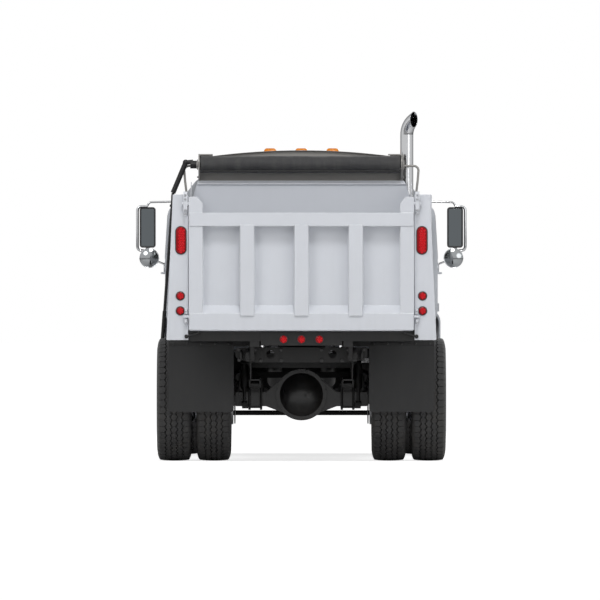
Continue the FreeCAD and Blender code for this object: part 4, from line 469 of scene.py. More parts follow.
def rod(bm, start, end, radius, end_radius=None, *, sides, bevel=0.0):
    """A round bar or cone between two points."""
    start, end = Vector(start), Vector(end)
    made = bmesh.ops.create_cone(bm, cap_ends=True, segments=sides, radius1=radius,
                                 radius2=radius if end_radius is None else end_radius,
                                 depth=(end - start).length,
                                 matrix=aimed((start + end) / 2, end - start))["verts"]
    if bevel:
        round_off(bm, [edge for edge in edges_of(made)
                       if any(len(face.verts) > 4 for face in edge.link_faces)], bevel)
    return made


def lathe(bm, profile, centre, way, steps, closed=False):
    """Spins a profile of (distance along, radius) pairs round a line."""
    place = aimed(centre, way)
    verts = [bm.verts.new(place @ Vector((radius, 0, along))) for along, radius in profile]
    pairs = list(zip(verts, verts[1:]))
    if closed:
        pairs.append((verts[-1], verts[0]))
    edges = [bm.edges.new(pair) for pair in pairs]
    bmesh.ops.spin(bm, geom=verts + edges, cent=centre, axis=way, angle=2 * math.pi, steps=steps,
                   use_merge=True)
    bmesh.ops.remove_doubles(bm, verts=bm.verts, dist=JOIN)


def ball(bm, centre, radius, squash=(1, 1, 1), detail=12):
    """A globe, or a squashed one."""
    place = Matrix.Translation(Vector(centre)) @ Matrix.Diagonal((*squash, 1.0))
    bmesh.ops.create_uvsphere(bm, u_segments=detail * 2, v_segments=detail, radius=radius, matrix=place)


def hex_bolt(bm, spot, way, across, height, washer=True):
    """Hexagon head on its washer, standing on a face."""
    spot, way = Vector(spot), Vector(way).normalized()
    if washer:
        rod(bm, spot, spot + way * 0.003, across * 0.68, sides=20)
    rod(bm, spot + way * 0.002, spot + way * height, across * 0.577, sides=6, bevel=across * 0.06)


def tube(name, points, radius, paint, body, bend, sides=4):
    """Bent round tube: straight runs with their corners rounded."""
    route = [Vector(p) for p in points]
    spots = [route[0]]
    for before, here, after in zip(route, route[1:], route[2:]):
        reach = min(bend, (here - before).length * 0.45, (after - here).length * 0.45)
        first = here + (before - here).normalized() * reach
        last = here + (after - here).normalized() * reach
        for i in range(BEND_STEPS + 1):
            t = i / BEND_STEPS
            spots.append(first * (1 - t) ** 2 + here * 2 * t * (1 - t) + last * t ** 2)
    spots.append(route[-1])
    curve = bpy.data.curves.new(name, "CURVE")
    curve.dimensions = "3D"
    curve.bevel_depth = radius
    curve.bevel_resolution = sides
    curve.use_fill_caps = True
    line = curve.splines.new("POLY")
    line.points.add(len(spots) - 1)
    for point, spot in zip(line.points, spots):
        point.co = (*spot, 1.0)
    draft = bpy.data.objects.new(name + "_draft", curve)
    scene.collection.objects.link(draft)
    bm = bmesh.new()
    bm.from_mesh(draft.to_mesh())
    draft.to_mesh_clear()
    bpy.data.objects.remove(draft)
    bmesh.ops.remove_doubles(bm, verts=bm.verts, dist=JOIN)
    return add_piece(name, bm, paint, body, sharp=50.0)


def rounded_loop(half_width, half_height, corner):
    """Points of a rounded rectangle about the origin, in a plane."""
    spots = []
    for sx, sy, turn in ((1, 1, 0), (-1, 1, 90), (-1, -1, 180), (1, -1, 270)):
        for i in range(CORNER_STEPS + 1):
            angle = math.radians(turn + 90 * i / CORNER_STEPS)
            spots.append((sx * (half_width - corner) + corner * math.cos(angle),
                          sy * (half_height - corner) + corner * math.sin(angle)))
    return spots


def only(items, kind):
    """The verts, edges or faces among mixed items."""
    return [item for item in items if isinstance(item, getattr(bmesh.types, kind))]


def push_out(bm, faces, shift):
    """Extrudes faces and moves the new ones; returns all that is new."""
    made = bmesh.ops.extrude_face_region(bm, geom=faces)["geom"]
    bmesh.ops.translate(bm, verts=only(made, "BMVert"), vec=shift)
    return made


def plate(bm, outline, place, thickness, bevel=0.0, segments=2):
    """A flat plate of the given outline, thickened along its own normal."""
    face = bm.faces.new([bm.verts.new(place @ Vector((u, v, 0))) for u, v in outline])
    normal = (place.to_3x3() @ Vector((0, 0, 1))).normalized()
    made = push_out(bm, [face], normal * thickness)
    if bevel:
        round_off(bm, only(made, "BMEdge"), bevel, segments)


def facing_back(x, y, z):
    """Placement of a plate that looks backward: u is to the left, v up."""
    return Matrix.Translation((x, y, z)) @ Matrix(((-1, 0, 0, 0), (0, 0, -1, 0), (0, 1, 0, 0), (0, 0, 0, 1)))


def drawn(z):
    """How much of its half width the cab keeps at a height."""
    if z <= DRAW_STEPS[0][0]:
        return 1.0
    for (low, share), (high, next_share) in zip(DRAW_STEPS, DRAW_STEPS[1:]):
        if z <= high:
            return share + (next_share - share) * (z - low) / (high - low)
    return DRAW_STEPS[-1][1]


def cab_side(z):
    """Half width of the cab's side as the frame has it."""
    if z < BELT_Z:
        return CAB_HALF
    if z < SHOULDER_Z:
        return CAB_HALF + (SHOULDER_HALF - CAB_HALF) * (z - BELT_Z) / (SHOULDER_Z - BELT_Z)
    return SHOULDER_HALF - ROOF_DRAW * (z - SHOULDER_Z) / (CAB_ROOF_Z - SHOULDER_Z)


# Tyres

GROOVE_XS = (-0.0705, -0.0235, 0.0235, 0.0705)
GROOVE_HALF = 0.0058
GROOVE_DEPTH = 0.016
RIB_EDGE = 0.0075              # width of the band beside a groove
CROWN = 0.007                  # drop of the tread at its edge
ZIGZAG = 0.0065
PITCHES = 56
RING_SHARES = (0.0, 0.03, 0.11, 0.14, 0.50, 0.64)    # rings of one pitch
RING_WAVES = (1, 1, 1, 1, -1, -1)                     # side of the zigzag at each ring
NOTCH_RINGS = (1, 2)
NOTCH_DEPTH = 0.0035
SHOULDER_NOTCH = 0.0075
SIDEWALL = ((0.1055, 0.2862), (0.1085, 0.2990), (0.1140, 0.3040), (0.1165, 0.3120), (0.1290, 0.3320),
            (0.1400, 0.3580), (0.1460, 0.3880), (0.1475, 0.4150), (0.1460, 0.4340), (0.1472, 0.4360),
            (0.1462, 0.4400), (0.1425, 0.4640), (0.1370, 0.4860), (0.1300, 0.5030))


def tread_profile():
    """Tread from one shoulder to the other: ribs with a band beside each groove, and the groove floors."""
    marks = [-TREAD_HALF - 0.0055, -TREAD_HALF, -TREAD_HALF + 0.014]
    for groove in GROOVE_XS:
        marks += [groove - GROOVE_HALF - RIB_EDGE, groove - GROOVE_HALF, groove - GROOVE_HALF * 0.6,
                  groove + GROOVE_HALF * 0.6, groove + GROOVE_HALF, groove + GROOVE_HALF + RIB_EDGE]
        if groove != GROOVE_XS[-1]:
            marks.append(groove + GROOVE_XS[-1] / 3)
    marks += [TREAD_HALF - 0.014, TREAD_HALF, TREAD_HALF + 0.0055]
    profile = []
    for x in marks:
        height = TYRE_RADIUS - CROWN * (x / TREAD_HALF) ** 2
        if abs(x) > TREAD_HALF:
            height -= 0.004
        if min(abs(x - groove) for groove in GROOVE_XS) < GROOVE_HALF * 0.8:
            height -= GROOVE_DEPTH
        profile.append((x, height))
    return profile


def tyre_profile():
    """A tyre's whole section: both sidewalls, the tread and the inside."""
    left = [(-x, radius) for x, radius in SIDEWALL]
    half = [(0.080, 0.2862), (0.082, 0.300), (0.116, 0.380), (0.116, 0.440), (0.085, 0.482)]
    other = [(-x, radius) for x, radius in reversed(half)]
    return left + tread_profile() + list(reversed(SIDEWALL)) + half + other


def cut_tread(bm):
    """Respaces the rings and moves them, which gives the zigzag grooves and the notches."""
    rings = PITCHES * len(RING_SHARES)
    for vert in bm.verts:
        radius = math.hypot(vert.co.y, vert.co.z)
        ring = round(math.atan2(vert.co.z, vert.co.y) / (2 * math.pi) * rings) % rings
        pitch, part = divmod(ring, len(RING_SHARES))
        angle = (pitch + RING_SHARES[part]) / PITCHES * 2 * math.pi
        x = vert.co.x
        if radius > 0.49:
            index, groove = min(enumerate(GROOVE_XS), key=lambda item: abs(x - item[1]))
            away = abs(x - groove)
            if away < GROOVE_HALF + RIB_EDGE + 1e-4:
                vert.co.x += ZIGZAG * RING_WAVES[part] * (1 if index % 2 else -1)
                if part in NOTCH_RINGS and away > GROOVE_HALF * 0.8:
                    radius -= NOTCH_DEPTH
            elif abs(x) > TREAD_HALF - 0.015 and part in NOTCH_RINGS:
                radius -= SHOULDER_NOTCH * (0.6 if abs(x) > TREAD_HALF + 0.001 else 1.0)
        vert.co.y = radius * math.cos(angle)
        vert.co.z = radius * math.sin(angle)


def add_tyres(name, spots, y, body, node):
    """Tyres of one body, with their tread, sidewall rings and beads."""
    one = bmesh.new()
    verts = [one.verts.new((x, radius, 0)) for x, radius in tyre_profile()]
    edges = [one.edges.new(pair) for pair in zip(verts, verts[1:] + verts[:1])]
    bmesh.ops.spin(one, geom=verts + edges, cent=(0, 0, 0), axis=(1, 0, 0), angle=2 * math.pi,
                   steps=PITCHES * len(RING_SHARES), use_merge=True)
    bmesh.ops.remove_doubles(one, verts=one.verts, dist=JOIN)
    cut_tread(one)
    draft = bpy.data.meshes.new(name + "_draft")
    one.to_mesh(draft)
    one.free()
    bm = bmesh.new()
    for x in spots:
        before = len(bm.verts)
        bm.from_mesh(draft)
        bm.verts.ensure_lookup_table()
        bmesh.ops.translate(bm, verts=bm.verts[before:], vec=(x, y, AXLE_Z))
    bpy.data.meshes.remove(draft)
    add_piece(name, bm, "tyre", body, sharp=32.0, replaces=[node])


for side, hand in SIDES:
    add_tyres(f"rear_tread_tyres_{hand}", (side * OUTER_TYRE_X, side * INNER_TYRE_X), REAR_Y,
              f"rear_wheel_{hand}", f"rear_tyres_{hand}")
    add_tyres(f"front_tread_tyre_{hand}", (side * FRONT_TYRE_X,), FRONT_Y, f"front_wheel_{hand}",
              f"front_tyre_{hand}")


# Wheel nuts and hubs

STUD_CIRCLE = 0.1429
STUDS = 10
NUT_ACROSS = 0.033
# Axle, its place, the disc's face, the hub's face and the circle of its nuts
NUT_RINGS = (("rear", REAR_Y, OUTER_TYRE_X - DISC_OFFSET + 0.020, 1.0075, 0.080),
             ("front", FRONT_Y, FRONT_TYRE_X + DISC_OFFSET, 1.200, 0.081))


def ring_spots(radius, count, first=0.0):
    """Spots evenly round a circle; first is the share of a step before the first one."""
    for i in range(count):
        turn = 2 * math.pi * (i + first) / count
        yield radius * math.cos(turn), radius * math.sin(turn)


def add_wheel_nuts(name, face_x, y, side, hub_x, hub_circle, body):
    """Flanged nuts on the disc's studs, and the ring of smaller nuts on the hub's cap."""
    bm = bmesh.new()
    out = Vector((side, 0, 0))
    for dy, dz in ring_spots(STUD_CIRCLE, STUDS):
        foot = Vector((side * face_x, y + dy, AXLE_Z + dz))
        rod(bm, foot, foot + out * 0.006, NUT_ACROSS * 0.66, NUT_ACROSS * 0.58, sides=20)
        rod(bm, foot + out * 0.005, foot + out * 0.027, NUT_ACROSS * 0.577, sides=6, bevel=0.002)
        rod(bm, foot + out * 0.026, foot + out * 0.036, 0.0105, sides=16, bevel=0.0015)
    for dy, dz in ring_spots(hub_circle, 8, 0.5):
        hex_bolt(bm, (side * hub_x, y + dy, AXLE_Z + dz), out, 0.019, 0.011)
    add_piece(name, bm, "chrome", body)


for side, hand in SIDES:
    for axle, y, face_x, hub_x, hub_circle in NUT_RINGS:
        add_wheel_nuts(f"{axle}_nuts_{hand}", face_x, y, side, hub_x, hub_circle, f"{axle}_wheel_{hand}")


# Red lamps

LAMP_X = 1.010
LAMP_Z = 1.865
ROUND_LAMP_X = 1.015
ROUND_LAMP_ZS = (1.399, 1.274)
ID_LAMP_XS = (-0.150, 0.0, 0.150)
ID_LAMP_Z = 1.035
ID_FACE_Y = -3.086
HONEYCOMB = 0.866              # spacing of a honeycomb's rows, as a share of its cell


def lamp_cells(bm, x, y, z, half_width, half_height, cell=0.0165):
    """Small domes in a honeycomb, inside an oval."""
    row = 0
    up = -half_height
    while up <= half_height + 1e-6:
        shift = cell / 2 if row % 2 else 0.0
        across = -math.floor((half_width - shift) / cell) * cell + shift
        while across <= half_width + 1e-6:
            round_end = max(abs(up) - (half_height - half_width), 0.0)
            if math.hypot(across, round_end) <= half_width:
                ball(bm, (x + across, y, z + up), cell * 0.46, (1, 0.55, 1), detail=5)
            across += cell
        up += cell * HONEYCOMB
        row += 1


def add_red_lamps():
    """Lenses with their cells, and the rubber grommets that hold them in the posts and the bar."""
    grommets, lenses, cells = fresh(3)
    for side in (-1, 1):
        x = side * LAMP_X
        plate(grommets, rounded_loop(0.0480, 0.1200, 0.0470), facing_back(x, POST_Y, LAMP_Z), 0.006, 0.003)
        plate(grommets, rounded_loop(0.0437, 0.1157, 0.0427), facing_back(x, POST_Y + 0.030, LAMP_Z), 0.031)
        plate(lenses, rounded_loop(0.0405, 0.1125, 0.0400), facing_back(x, POST_Y - 0.004, LAMP_Z), 0.0075,
              0.005, segments=3)
        lamp_cells(cells, x, POST_Y - 0.0112, LAMP_Z, 0.030, 0.102)
    spots = [(side * ROUND_LAMP_X, POST_Y, z, 0.035) for side in (-1, 1) for z in ROUND_LAMP_ZS]
    spots += [(x, ID_FACE_Y, ID_LAMP_Z, 0.036) for x in ID_LAMP_XS]
    for x, face_y, z, radius in spots:
        lathe(grommets, [(-0.020, 0.0), (-0.020, radius), (0.000, radius), (0.000, radius + 0.004),
                         (0.004, radius + 0.004), (0.0065, radius + 0.001), (0.0065, radius - 0.003),
                         (0.003, radius - 0.004), (0.003, 0.0)], (x, face_y, z), BACKWARD, steps=32)
        lathe(lenses, [(0.002, 0.0), (0.002, radius - 0.004), (0.007, radius - 0.004),
                       (0.0105, radius - 0.009), (0.0125, radius - 0.018), (0.013, 0.0)],
              (x, face_y, z), BACKWARD, steps=32)
        lamp_cells(cells, x, face_y - 0.0125, z, radius - 0.012, radius - 0.012, cell=0.013)
    add_piece("lamp_grommets", grommets, "seal", "bed", replaces=["rear_lamps"])
    add_piece("lamp_lenses", lenses, "red_dark", "bed", replaces=["rear_lamps"])
    add_piece("lamp_cells", cells, "red", "bed")


add_red_lamps()


# Amber roof lamps

ROOF_LAMP_XS = (-0.273, 0.0, 0.273)
ROOF_LAMP_Y = (1.010, 1.120)
ROOF_LAMP_TOP = 2.694
ROOF_LENS_HALF = 0.062
ROOF_PAD_HALF = 0.066
FLUTE_GAP = 0.013


def add_roof_lamps():
    """Amber lenses with flutes, on black pads."""
    lenses, pads = fresh(2)
    rear_y, front_y = ROOF_LAMP_Y
    middle_y = (rear_y + front_y) / 2
    for x in ROOF_LAMP_XS:
        made = box(lenses, (x - ROOF_LENS_HALF, rear_y + 0.004, CAB_ROOF_Z),
                   (x + ROOF_LENS_HALF, front_y - 0.006, ROOF_LAMP_TOP))
        for vert in made:
            if vert.co.z > CAB_ROOF_Z + 0.01:
                vert.co.x = x + (vert.co.x - x) * 0.78
                vert.co.y = middle_y + (vert.co.y - middle_y) * 0.55 - 0.010
        round_off(lenses, edges_of(made), 0.019, 6)
        for i in range(-3, 4):
            across = x + FLUTE_GAP * i
            rod(lenses, (across, rear_y + 0.0125, CAB_ROOF_Z + 0.010),
                (across, rear_y + 0.0205, ROOF_LAMP_TOP - 0.024), 0.0022, sides=8)
        box(pads, (x - ROOF_PAD_HALF, rear_y - 0.001, CAB_ROOF_Z - 0.012),
            (x + ROOF_PAD_HALF, front_y + 0.001, CAB_ROOF_Z + 0.006), bevel=0.004)
    add_piece("roof_lamp_lenses", lenses, "amber", "chassis", replaces=["roof_lamps"])
    add_piece("roof_lamp_pads", pads, "seal", "chassis", replaces=["roof_lamps"])


add_roof_lamps()


# Mirrors

MIRROR_X = 1.347
MIRROR_Y = 1.167
MIRROR_Z = 2.001
MIRROR_HALF = (0.070, 0.178)
MIRROR_DEPTH = 0.034
MIRROR_RIM = 0.0135
GLASS_GAP = 0.0004             # between the mirror's glass and its rim
CONVEX_X = 1.333
CONVEX_Z = 1.733
LOOP_X = 1.437
CONVEX_DOME = ((0.077, 0.0), (0.0755, 0.022), (0.0715, 0.045), (0.065, 0.066), (0.0585, 0.0805),
               (0.052, 0.0805), (0.052, 0.0))
CONVEX_BOWL = ((0.0560, 0.0795), (0.0600, 0.0810), (0.0625, 0.0840), (0.0600, 0.0868), (0.0550, 0.0870),
               (0.0500, 0.0850), (0.0420, 0.0780), (0.0330, 0.0640), (0.0270, 0.0440), (0.0250, 0.0200),
               (0.0250, 0.0000))


def add_mirror(side, hand):
    """Flat mirror in a black case, convex mirror in a chrome bowl, and the loop that carries both."""
    body = f"door_{hand}"
    node = f"mirror_{hand}"
    x = side * MIRROR_X
    half_x, half_z = MIRROR_HALF
    case, glass, dome, bowl, feet = fresh(5)
    rear = facing_back(x, MIRROR_Y, MIRROR_Z)
    face = case.faces.new([case.verts.new(rear @ Vector((u, v, 0))) for u, v in
                           rounded_loop(half_x, half_z, 0.026)])
    ledge = only(push_out(case, [face], (0, -MIRROR_DEPTH, 0)), "BMFace")
    bmesh.ops.inset_region(case, faces=ledge, thickness=MIRROR_RIM, use_even_offset=True)
    bmesh.ops.translate(case, verts=list(ledge[0].verts), vec=(0, 0.004, 0))
    back = [item for item in case.faces if abs(item.calc_center_median().y - MIRROR_Y) < 1e-4
            and len(item.verts) > 8]
    for step, draw in ((0.012, 0.006), (0.012, 0.014), (0.007, 0.022)):
        bmesh.ops.inset_region(case, faces=back, thickness=draw, use_even_offset=True)
        bmesh.ops.translate(case, verts=list(back[0].verts), vec=(0, step, 0))
    foot = MIRROR_Z - half_z
    rod(case, (x, MIRROR_Y, foot - 0.022), (x, MIRROR_Y, foot + 0.004), 0.018, sides=20, bevel=0.004)
    add_piece(f"mirror_case_{hand}", case, "plastic", body, replaces=[node])

    inset = MIRROR_RIM + GLASS_GAP
    plate(glass, rounded_loop(half_x - inset, half_z - inset, 0.0125),
          facing_back(x, MIRROR_Y - MIRROR_DEPTH + 0.0042, MIRROR_Z), 0.0016)
    add_piece(f"mirror_glass_{hand}", glass, "mirror", body, replaces=[node])

    middle = Vector((side * CONVEX_X, MIRROR_Y, CONVEX_Z))
    lathe(dome, CONVEX_DOME, middle, BACKWARD, steps=48)
    add_piece(f"convex_glass_{hand}", dome, "convex", body, replaces=[node])
    lathe(bowl, CONVEX_BOWL, middle, BACKWARD, steps=48)
    rod(bowl, middle + Vector((0, -0.030, 0)), middle + Vector((0, 0.010, 0)), 0.011, sides=20)
    add_piece(f"convex_bowl_{hand}", bowl, "chrome", body, sharp=40.0, replaces=[node])

    loop_top = MIRROR_Z + half_z + 0.006
    loop_low = foot - 0.025
    arm_z = loop_top + 0.044
    foot_z = CONVEX_Z - 0.060
    wall_top = cab_side(arm_z) * drawn(arm_z)
    runs = (("mirror_loop", 0.0125, 0.060, ((x, loop_top), (side * LOOP_X, loop_top), (side * LOOP_X, loop_low),
                                            (x, loop_low))),
            ("mirror_arm", 0.0090, 0.030, ((side * wall_top, arm_z), (side * (MIRROR_X - 0.014), arm_z - 0.006),
                                           (side * (MIRROR_X + 0.006), loop_top))),
            ("mirror_stay", 0.0085, 0.020, ((side * CAB_HALF, foot_z), (side * CONVEX_X, CONVEX_Z),
                                            (x, loop_low))))
    for name, radius, bend, route in runs:
        made = tube(f"{name}_{hand}", [(across, MIRROR_Y, z) for across, z in route], radius, "chrome_tube_painted_reflection",
                    body, bend, sides=5)
        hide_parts(node)
    for wall, z in ((wall_top, arm_z), (CAB_HALF, foot_z)):
        face_x = side * (wall + 0.009)
        box(feet, (side * (wall - 0.010), MIRROR_Y - 0.020, z - 0.030), (face_x, MIRROR_Y + 0.020, z + 0.030),
            bevel=0.004)
        for dz in (-0.019, 0.019):
            hex_bolt(feet, (face_x, MIRROR_Y, z + dz), (side, 0, 0), 0.012, 0.007)
    add_piece(f"mirror_feet_{hand}", feet, "chrome", body, replaces=[node])


for side, hand in SIDES:
    add_mirror(side, hand)


# Bed fittings

BEAD_PITCH = 0.007
BEAD = 0.0045                  # radius of most beads


def bead(bm, start, end, radius=BEAD):
    """A weld: a thin bar with the ripples of its passes."""
    way = Vector(end) - Vector(start)
    count = max(4, int(way.length / BEAD_PITCH))
    profile = [(0.0, 0.0)]
    for i in range(count + 1):
        swell = 1.0 + 0.16 * (i % 2) + chance.uniform(-0.08, 0.08)
        profile.append((way.length * i / count, radius * swell))
    profile.append((way.length, 0.0))
    lathe(bm, profile, start, way.normalized(), steps=8)


GATE_FACE_Y = -3.053
GATE_RIB_X = 0.455
GATE_RIB_HALF = 0.060
GATE_STILE_X = 0.828
GATE_RAIL_Z = 1.984
GATE_SHED_Z = 1.319
HINGE_BOLT_ZS = (2.086, 2.118, 2.210, 2.246)
LATCH_BOLT_ZS = (1.176, 1.272)
LATCH_X = 0.964
LATCH_Z = 1.059
LEVER_Y = -3.1115
# Where a side's beads run: along its post, the floor and the headboard
POST_BEAD_X = 0.9525
FLOOR_BEAD_X = 0.9475
HEADBOARD_BEAD_X = 0.948
HEADBOARD_Y = 0.0525
BAY_YS = (-2.70, -2.04, -1.38, -0.72, -0.06)
FRONT_CORNER = ((1.030, 0.038, 1.210), (1.130, 0.100, 2.280))


def add_gate_welds():
    """Beads along the ribs, stiles and top rail of the tailgate."""
    bm = bmesh.new()
    uprights = [x + way * (GATE_RIB_HALF + 0.001) for x in (-GATE_RIB_X, 0, GATE_RIB_X) for way in (-1, 1)]
    uprights += [-GATE_STILE_X + 0.001, GATE_STILE_X - 0.001]
    for x in uprights:
        bead(bm, (x, GATE_FACE_Y, GATE_SHED_Z), (x, GATE_FACE_Y, GATE_RAIL_Z))
    marks = [-GATE_STILE_X, -GATE_RIB_X, 0, GATE_RIB_X, GATE_STILE_X]
    for left, right in zip(marks, marks[1:]):
        inset_left = 0.0 if left == marks[0] else GATE_RIB_HALF
        inset_right = 0.0 if right == marks[-1] else GATE_RIB_HALF
        bead(bm, (left + inset_left, GATE_FACE_Y, GATE_RAIL_Z - 0.001),
             (right - inset_right, GATE_FACE_Y, GATE_RAIL_Z - 0.001))
    add_piece("gate_welds", bm, "weld", "tailgate")


def add_bed_fittings():
    """Bolts of the hinge plates, latch levers, front corner uprights, the lip bar, and beads along the bed."""
    bolts, welds, levers, corners = fresh(4)
    for side in (-1, 1):
        for z in HINGE_BOLT_ZS:
            hex_bolt(bolts, (side * 0.972, TAIL_Y + 0.008, z), BACKWARD, 0.015, 0.009)
        for z in LATCH_BOLT_ZS:
            hex_bolt(bolts, (side * 0.968, TAIL_Y + 0.014, z), BACKWARD, 0.013, 0.008)
        x = side * LATCH_X
        rod(levers, (x, -3.101, LATCH_Z), (x, -3.117, LATCH_Z), 0.017, sides=20, bevel=0.003)
        rod(levers, (x, LEVER_Y, LATCH_Z), (x - side * 0.098, LEVER_Y, LATCH_Z + 0.033), 0.0085, sides=14)
        ball(levers, (x - side * 0.100, LEVER_Y, LATCH_Z + 0.0335), 0.0135)
        x = side * POST_BEAD_X
        bead(welds, (x, -2.958, 1.124), (x, -2.958, 2.230), 0.005)
        x = side * FLOOR_BEAD_X
        for y in BAY_YS:
            bead(welds, (x, y - 0.30, 1.1225), (x, y + 0.10, 1.1225))
        x = side * HEADBOARD_BEAD_X
        bead(welds, (x, HEADBOARD_Y, 1.125), (x, HEADBOARD_Y, 2.220), 0.005)
        box(corners, *[(side * x, y, z) for x, y, z in FRONT_CORNER], bevel=0.008)
    # The headboard's lip bar takes the lighter weld paint as a painted highlight along its top.
    rod(welds, (-0.900, 0.050, 2.372), (0.900, 0.050, 2.372), 0.010, sides=16, bevel=0.002)
    for x, y, z in ((0.940, HEADBOARD_Y, 1.1215), (0.935, -3.083, 1.1105)):
        bead(welds, (-x, y, z), (x, y, z))
    add_piece("bed_bolts", bolts, "steel", "bed")
    add_piece("bed_welds", welds, "weld", "bed")
    add_piece("bed_front_corners", corners, "bed", "bed")
    add_piece("latch_levers", levers, "frame", "bed")


add_gate_welds()
add_bed_fittings()


# Rolled cover

ROLL_Z = 2.538
ROLL_X = (-0.872, 0.856)
ROLL_RADIUS = 0.0755
HEM_Y = -0.0525
HEM_Z = ROLL_Z - 0.0585


def add_roll():
    """Cover wound on its tube, with the wraps at its ends, soft folds and the hem of its last turn."""
    bm, hem, caps = fresh(3)
    start, end = ROLL_X
    marks = [start + (end - start) * i / 64 for i in range(65)]
    rings = (0.068, 0.0655, 0.058, 0.0555, 0.048, 0.0455, 0.038, 0.0355, 0.0262)
    dips = [0.004 * (i % 2) for i in range(len(rings))]
    left = [(start + dip, radius) for radius, dip in zip(rings, dips)][::-1]
    right = [(end - dip, radius) for radius, dip in zip(rings, dips)]
    middle = [(x, ROLL_RADIUS - 0.001 * (x in (marks[0], marks[-1]))) for x in marks]
    lathe(bm, left + middle + right, (0, 0, ROLL_Z), (1, 0, 0), steps=72)
    for vert in bm.verts:
        away = Vector((0, vert.co.y, vert.co.z - ROLL_Z))
        if away.length < 0.070:
            continue
        turn = math.atan2(away.z, away.y)
        fold = 0.0011 * math.sin(7.3 * vert.co.x + 2 * turn) + 0.0009 * math.sin(23 * vert.co.x - 3 * turn)
        fold += 0.0007 * math.sin(61 * vert.co.x + 5 * math.sin(turn))
        wrap = 0.0022 * ((turn + 2.2) % (2 * math.pi)) / (2 * math.pi)
        away.length = ROLL_RADIUS - 0.0035 + fold + wrap
        vert.co.y = away.y
        vert.co.z = away.z + ROLL_Z
    for low, high in ((-0.904, start + 0.020), (end - 0.020, 0.892)):
        rod(bm, (low, 0, ROLL_Z), (high, 0, ROLL_Z), 0.0258, sides=32, bevel=0.002)
    add_piece("rolled_cover", bm, "cover", "bed", sharp=40.0, replaces=["tarp_roller"])
    bars = [(start + 0.010, end - 0.010, 0.0085)]
    bars += [(start + 0.10 + i * 0.191, start + 0.122 + i * 0.191, 0.0098) for i in range(9)]
    for low, high, radius in bars:
        rod(hem, (low, HEM_Y, HEM_Z), (high, HEM_Y, HEM_Z), radius, sides=18, bevel=0.002)
    add_piece("cover_hem", hem, "seal", "bed")
    for side, x in ((-1, -0.898), (1, 0.882)):
        lathe(caps, [(0.0, 0.0), (0.0, 0.046), (0.005, 0.046), (0.009, 0.036), (0.014, 0.034), (0.014, 0.0)],
              (x - side * 0.003, 0, ROLL_Z), (side, 0, 0), steps=36)
        for dy, dz in ring_spots(0.040, 4, 0.5):
            hex_bolt(caps, (x + side * 0.002, dy, ROLL_Z + dz), (side, 0, 0), 0.010, 0.007, washer=False)
        box(caps, (side * 0.768, 0.064, 2.580), (side * 0.890, 0.104, 2.623), bevel=0.004)
        for y in (0.050, 0.084):
            hex_bolt(caps, (x - side * 0.012, y, 2.430), (side, 0, 0), 0.013, 0.018)
    add_piece("roller_bearings", caps, "grey", "bed")


add_roll()


# Rear of the chassis

FLAP_Y = -2.4065
PLATE_Y = -2.842
PLATE_BOLTS = ((0.522, 0.948), (0.522, 0.862), (0.392, 0.948), (0.340, 0.856), (0.170, 0.856), (0.170, 0.948))
CHAMBER = ((-0.100, 0.0), (-0.100, 0.038), (-0.090, 0.052), (-0.060, 0.056), (-0.056, 0.066), (-0.044, 0.066),
           (-0.040, 0.058), (0.000, 0.060), (0.004, 0.068), (0.018, 0.068), (0.022, 0.058), (0.052, 0.042),
           (0.056, 0.0))


def add_rear_fittings():
    """Flap strips and bolts, and the rear plate's bolts; the axle's cover bolts, plug and brake chambers."""
    strips, bolts, axle = fresh(3)
    for side in (-1, 1):
        box(strips, (side * 0.580, FLAP_Y - 0.005, 0.978), (side * 1.114, FLAP_Y, 1.014), bevel=0.0015)
        for i in range(5):
            hex_bolt(bolts, (side * (0.612 + 0.1175 * i), FLAP_Y - 0.005, 0.996), BACKWARD, 0.014, 0.009)
        for x, z in PLATE_BOLTS:
            hex_bolt(bolts, (side * x, PLATE_Y, z), BACKWARD, 0.024, 0.014)
    add_piece("flap_strips", strips, "frame", "chassis")
    add_piece("rear_bolts", bolts, "iron", "chassis")
    for dx, dz in ring_spots(0.2100, 16, 0.5):
        hex_bolt(axle, (dx, REAR_Y - 0.084, AXLE_Z + 0.038 + dz), BACKWARD, 0.012, 0.009, washer=False)
    rod(axle, (0.060, REAR_Y - 0.258, AXLE_Z + 0.030), (0.060, REAR_Y - 0.276, AXLE_Z + 0.030), 0.017, sides=6)
    for side in (-1, 1):
        for dy in (-0.090, 0.090):
            rod(axle, (side * 0.560, REAR_Y + dy * 2.2, AXLE_Z + 0.150),
                (side * 0.560, REAR_Y + dy, AXLE_Z + 0.105), 0.012, sides=14)
        x, z = side * 0.520, AXLE_Z + 0.185
        lathe(axle, CHAMBER, (x, REAR_Y + 0.235, z), (0, 1, 0), steps=32)
        rod(axle, (x, REAR_Y + 0.120, z), (x, REAR_Y + 0.020, z - 0.010), 0.010, sides=12)
        box(axle, (x - 0.014, REAR_Y - 0.010, AXLE_Z + 0.050), (x + 0.014, REAR_Y + 0.030, z + 0.012),
            bevel=0.004)
        box(axle, (x - 0.040, REAR_Y + 0.040, AXLE_Z + 0.040), (x + 0.040, REAR_Y + 0.140, AXLE_Z + 0.104),
            bevel=0.006)
    add_piece("axle_fittings", axle, "iron", "chassis")


add_rear_fittings()


# Cab

CAB_BACK_Y = 0.310
COWL_Z = 1.600
SCREEN_FOOT_Y = 1.575
SCREEN_LEAN = 0.385            # how far back the windscreen's top stands from its foot
SCREEN_OUT = Vector((0.0, 0.9369, 0.3495))
SEAL_BENDS = (DRAW_STEPS[0][0], 2.230)      # heights at which a seal's upright bends inward
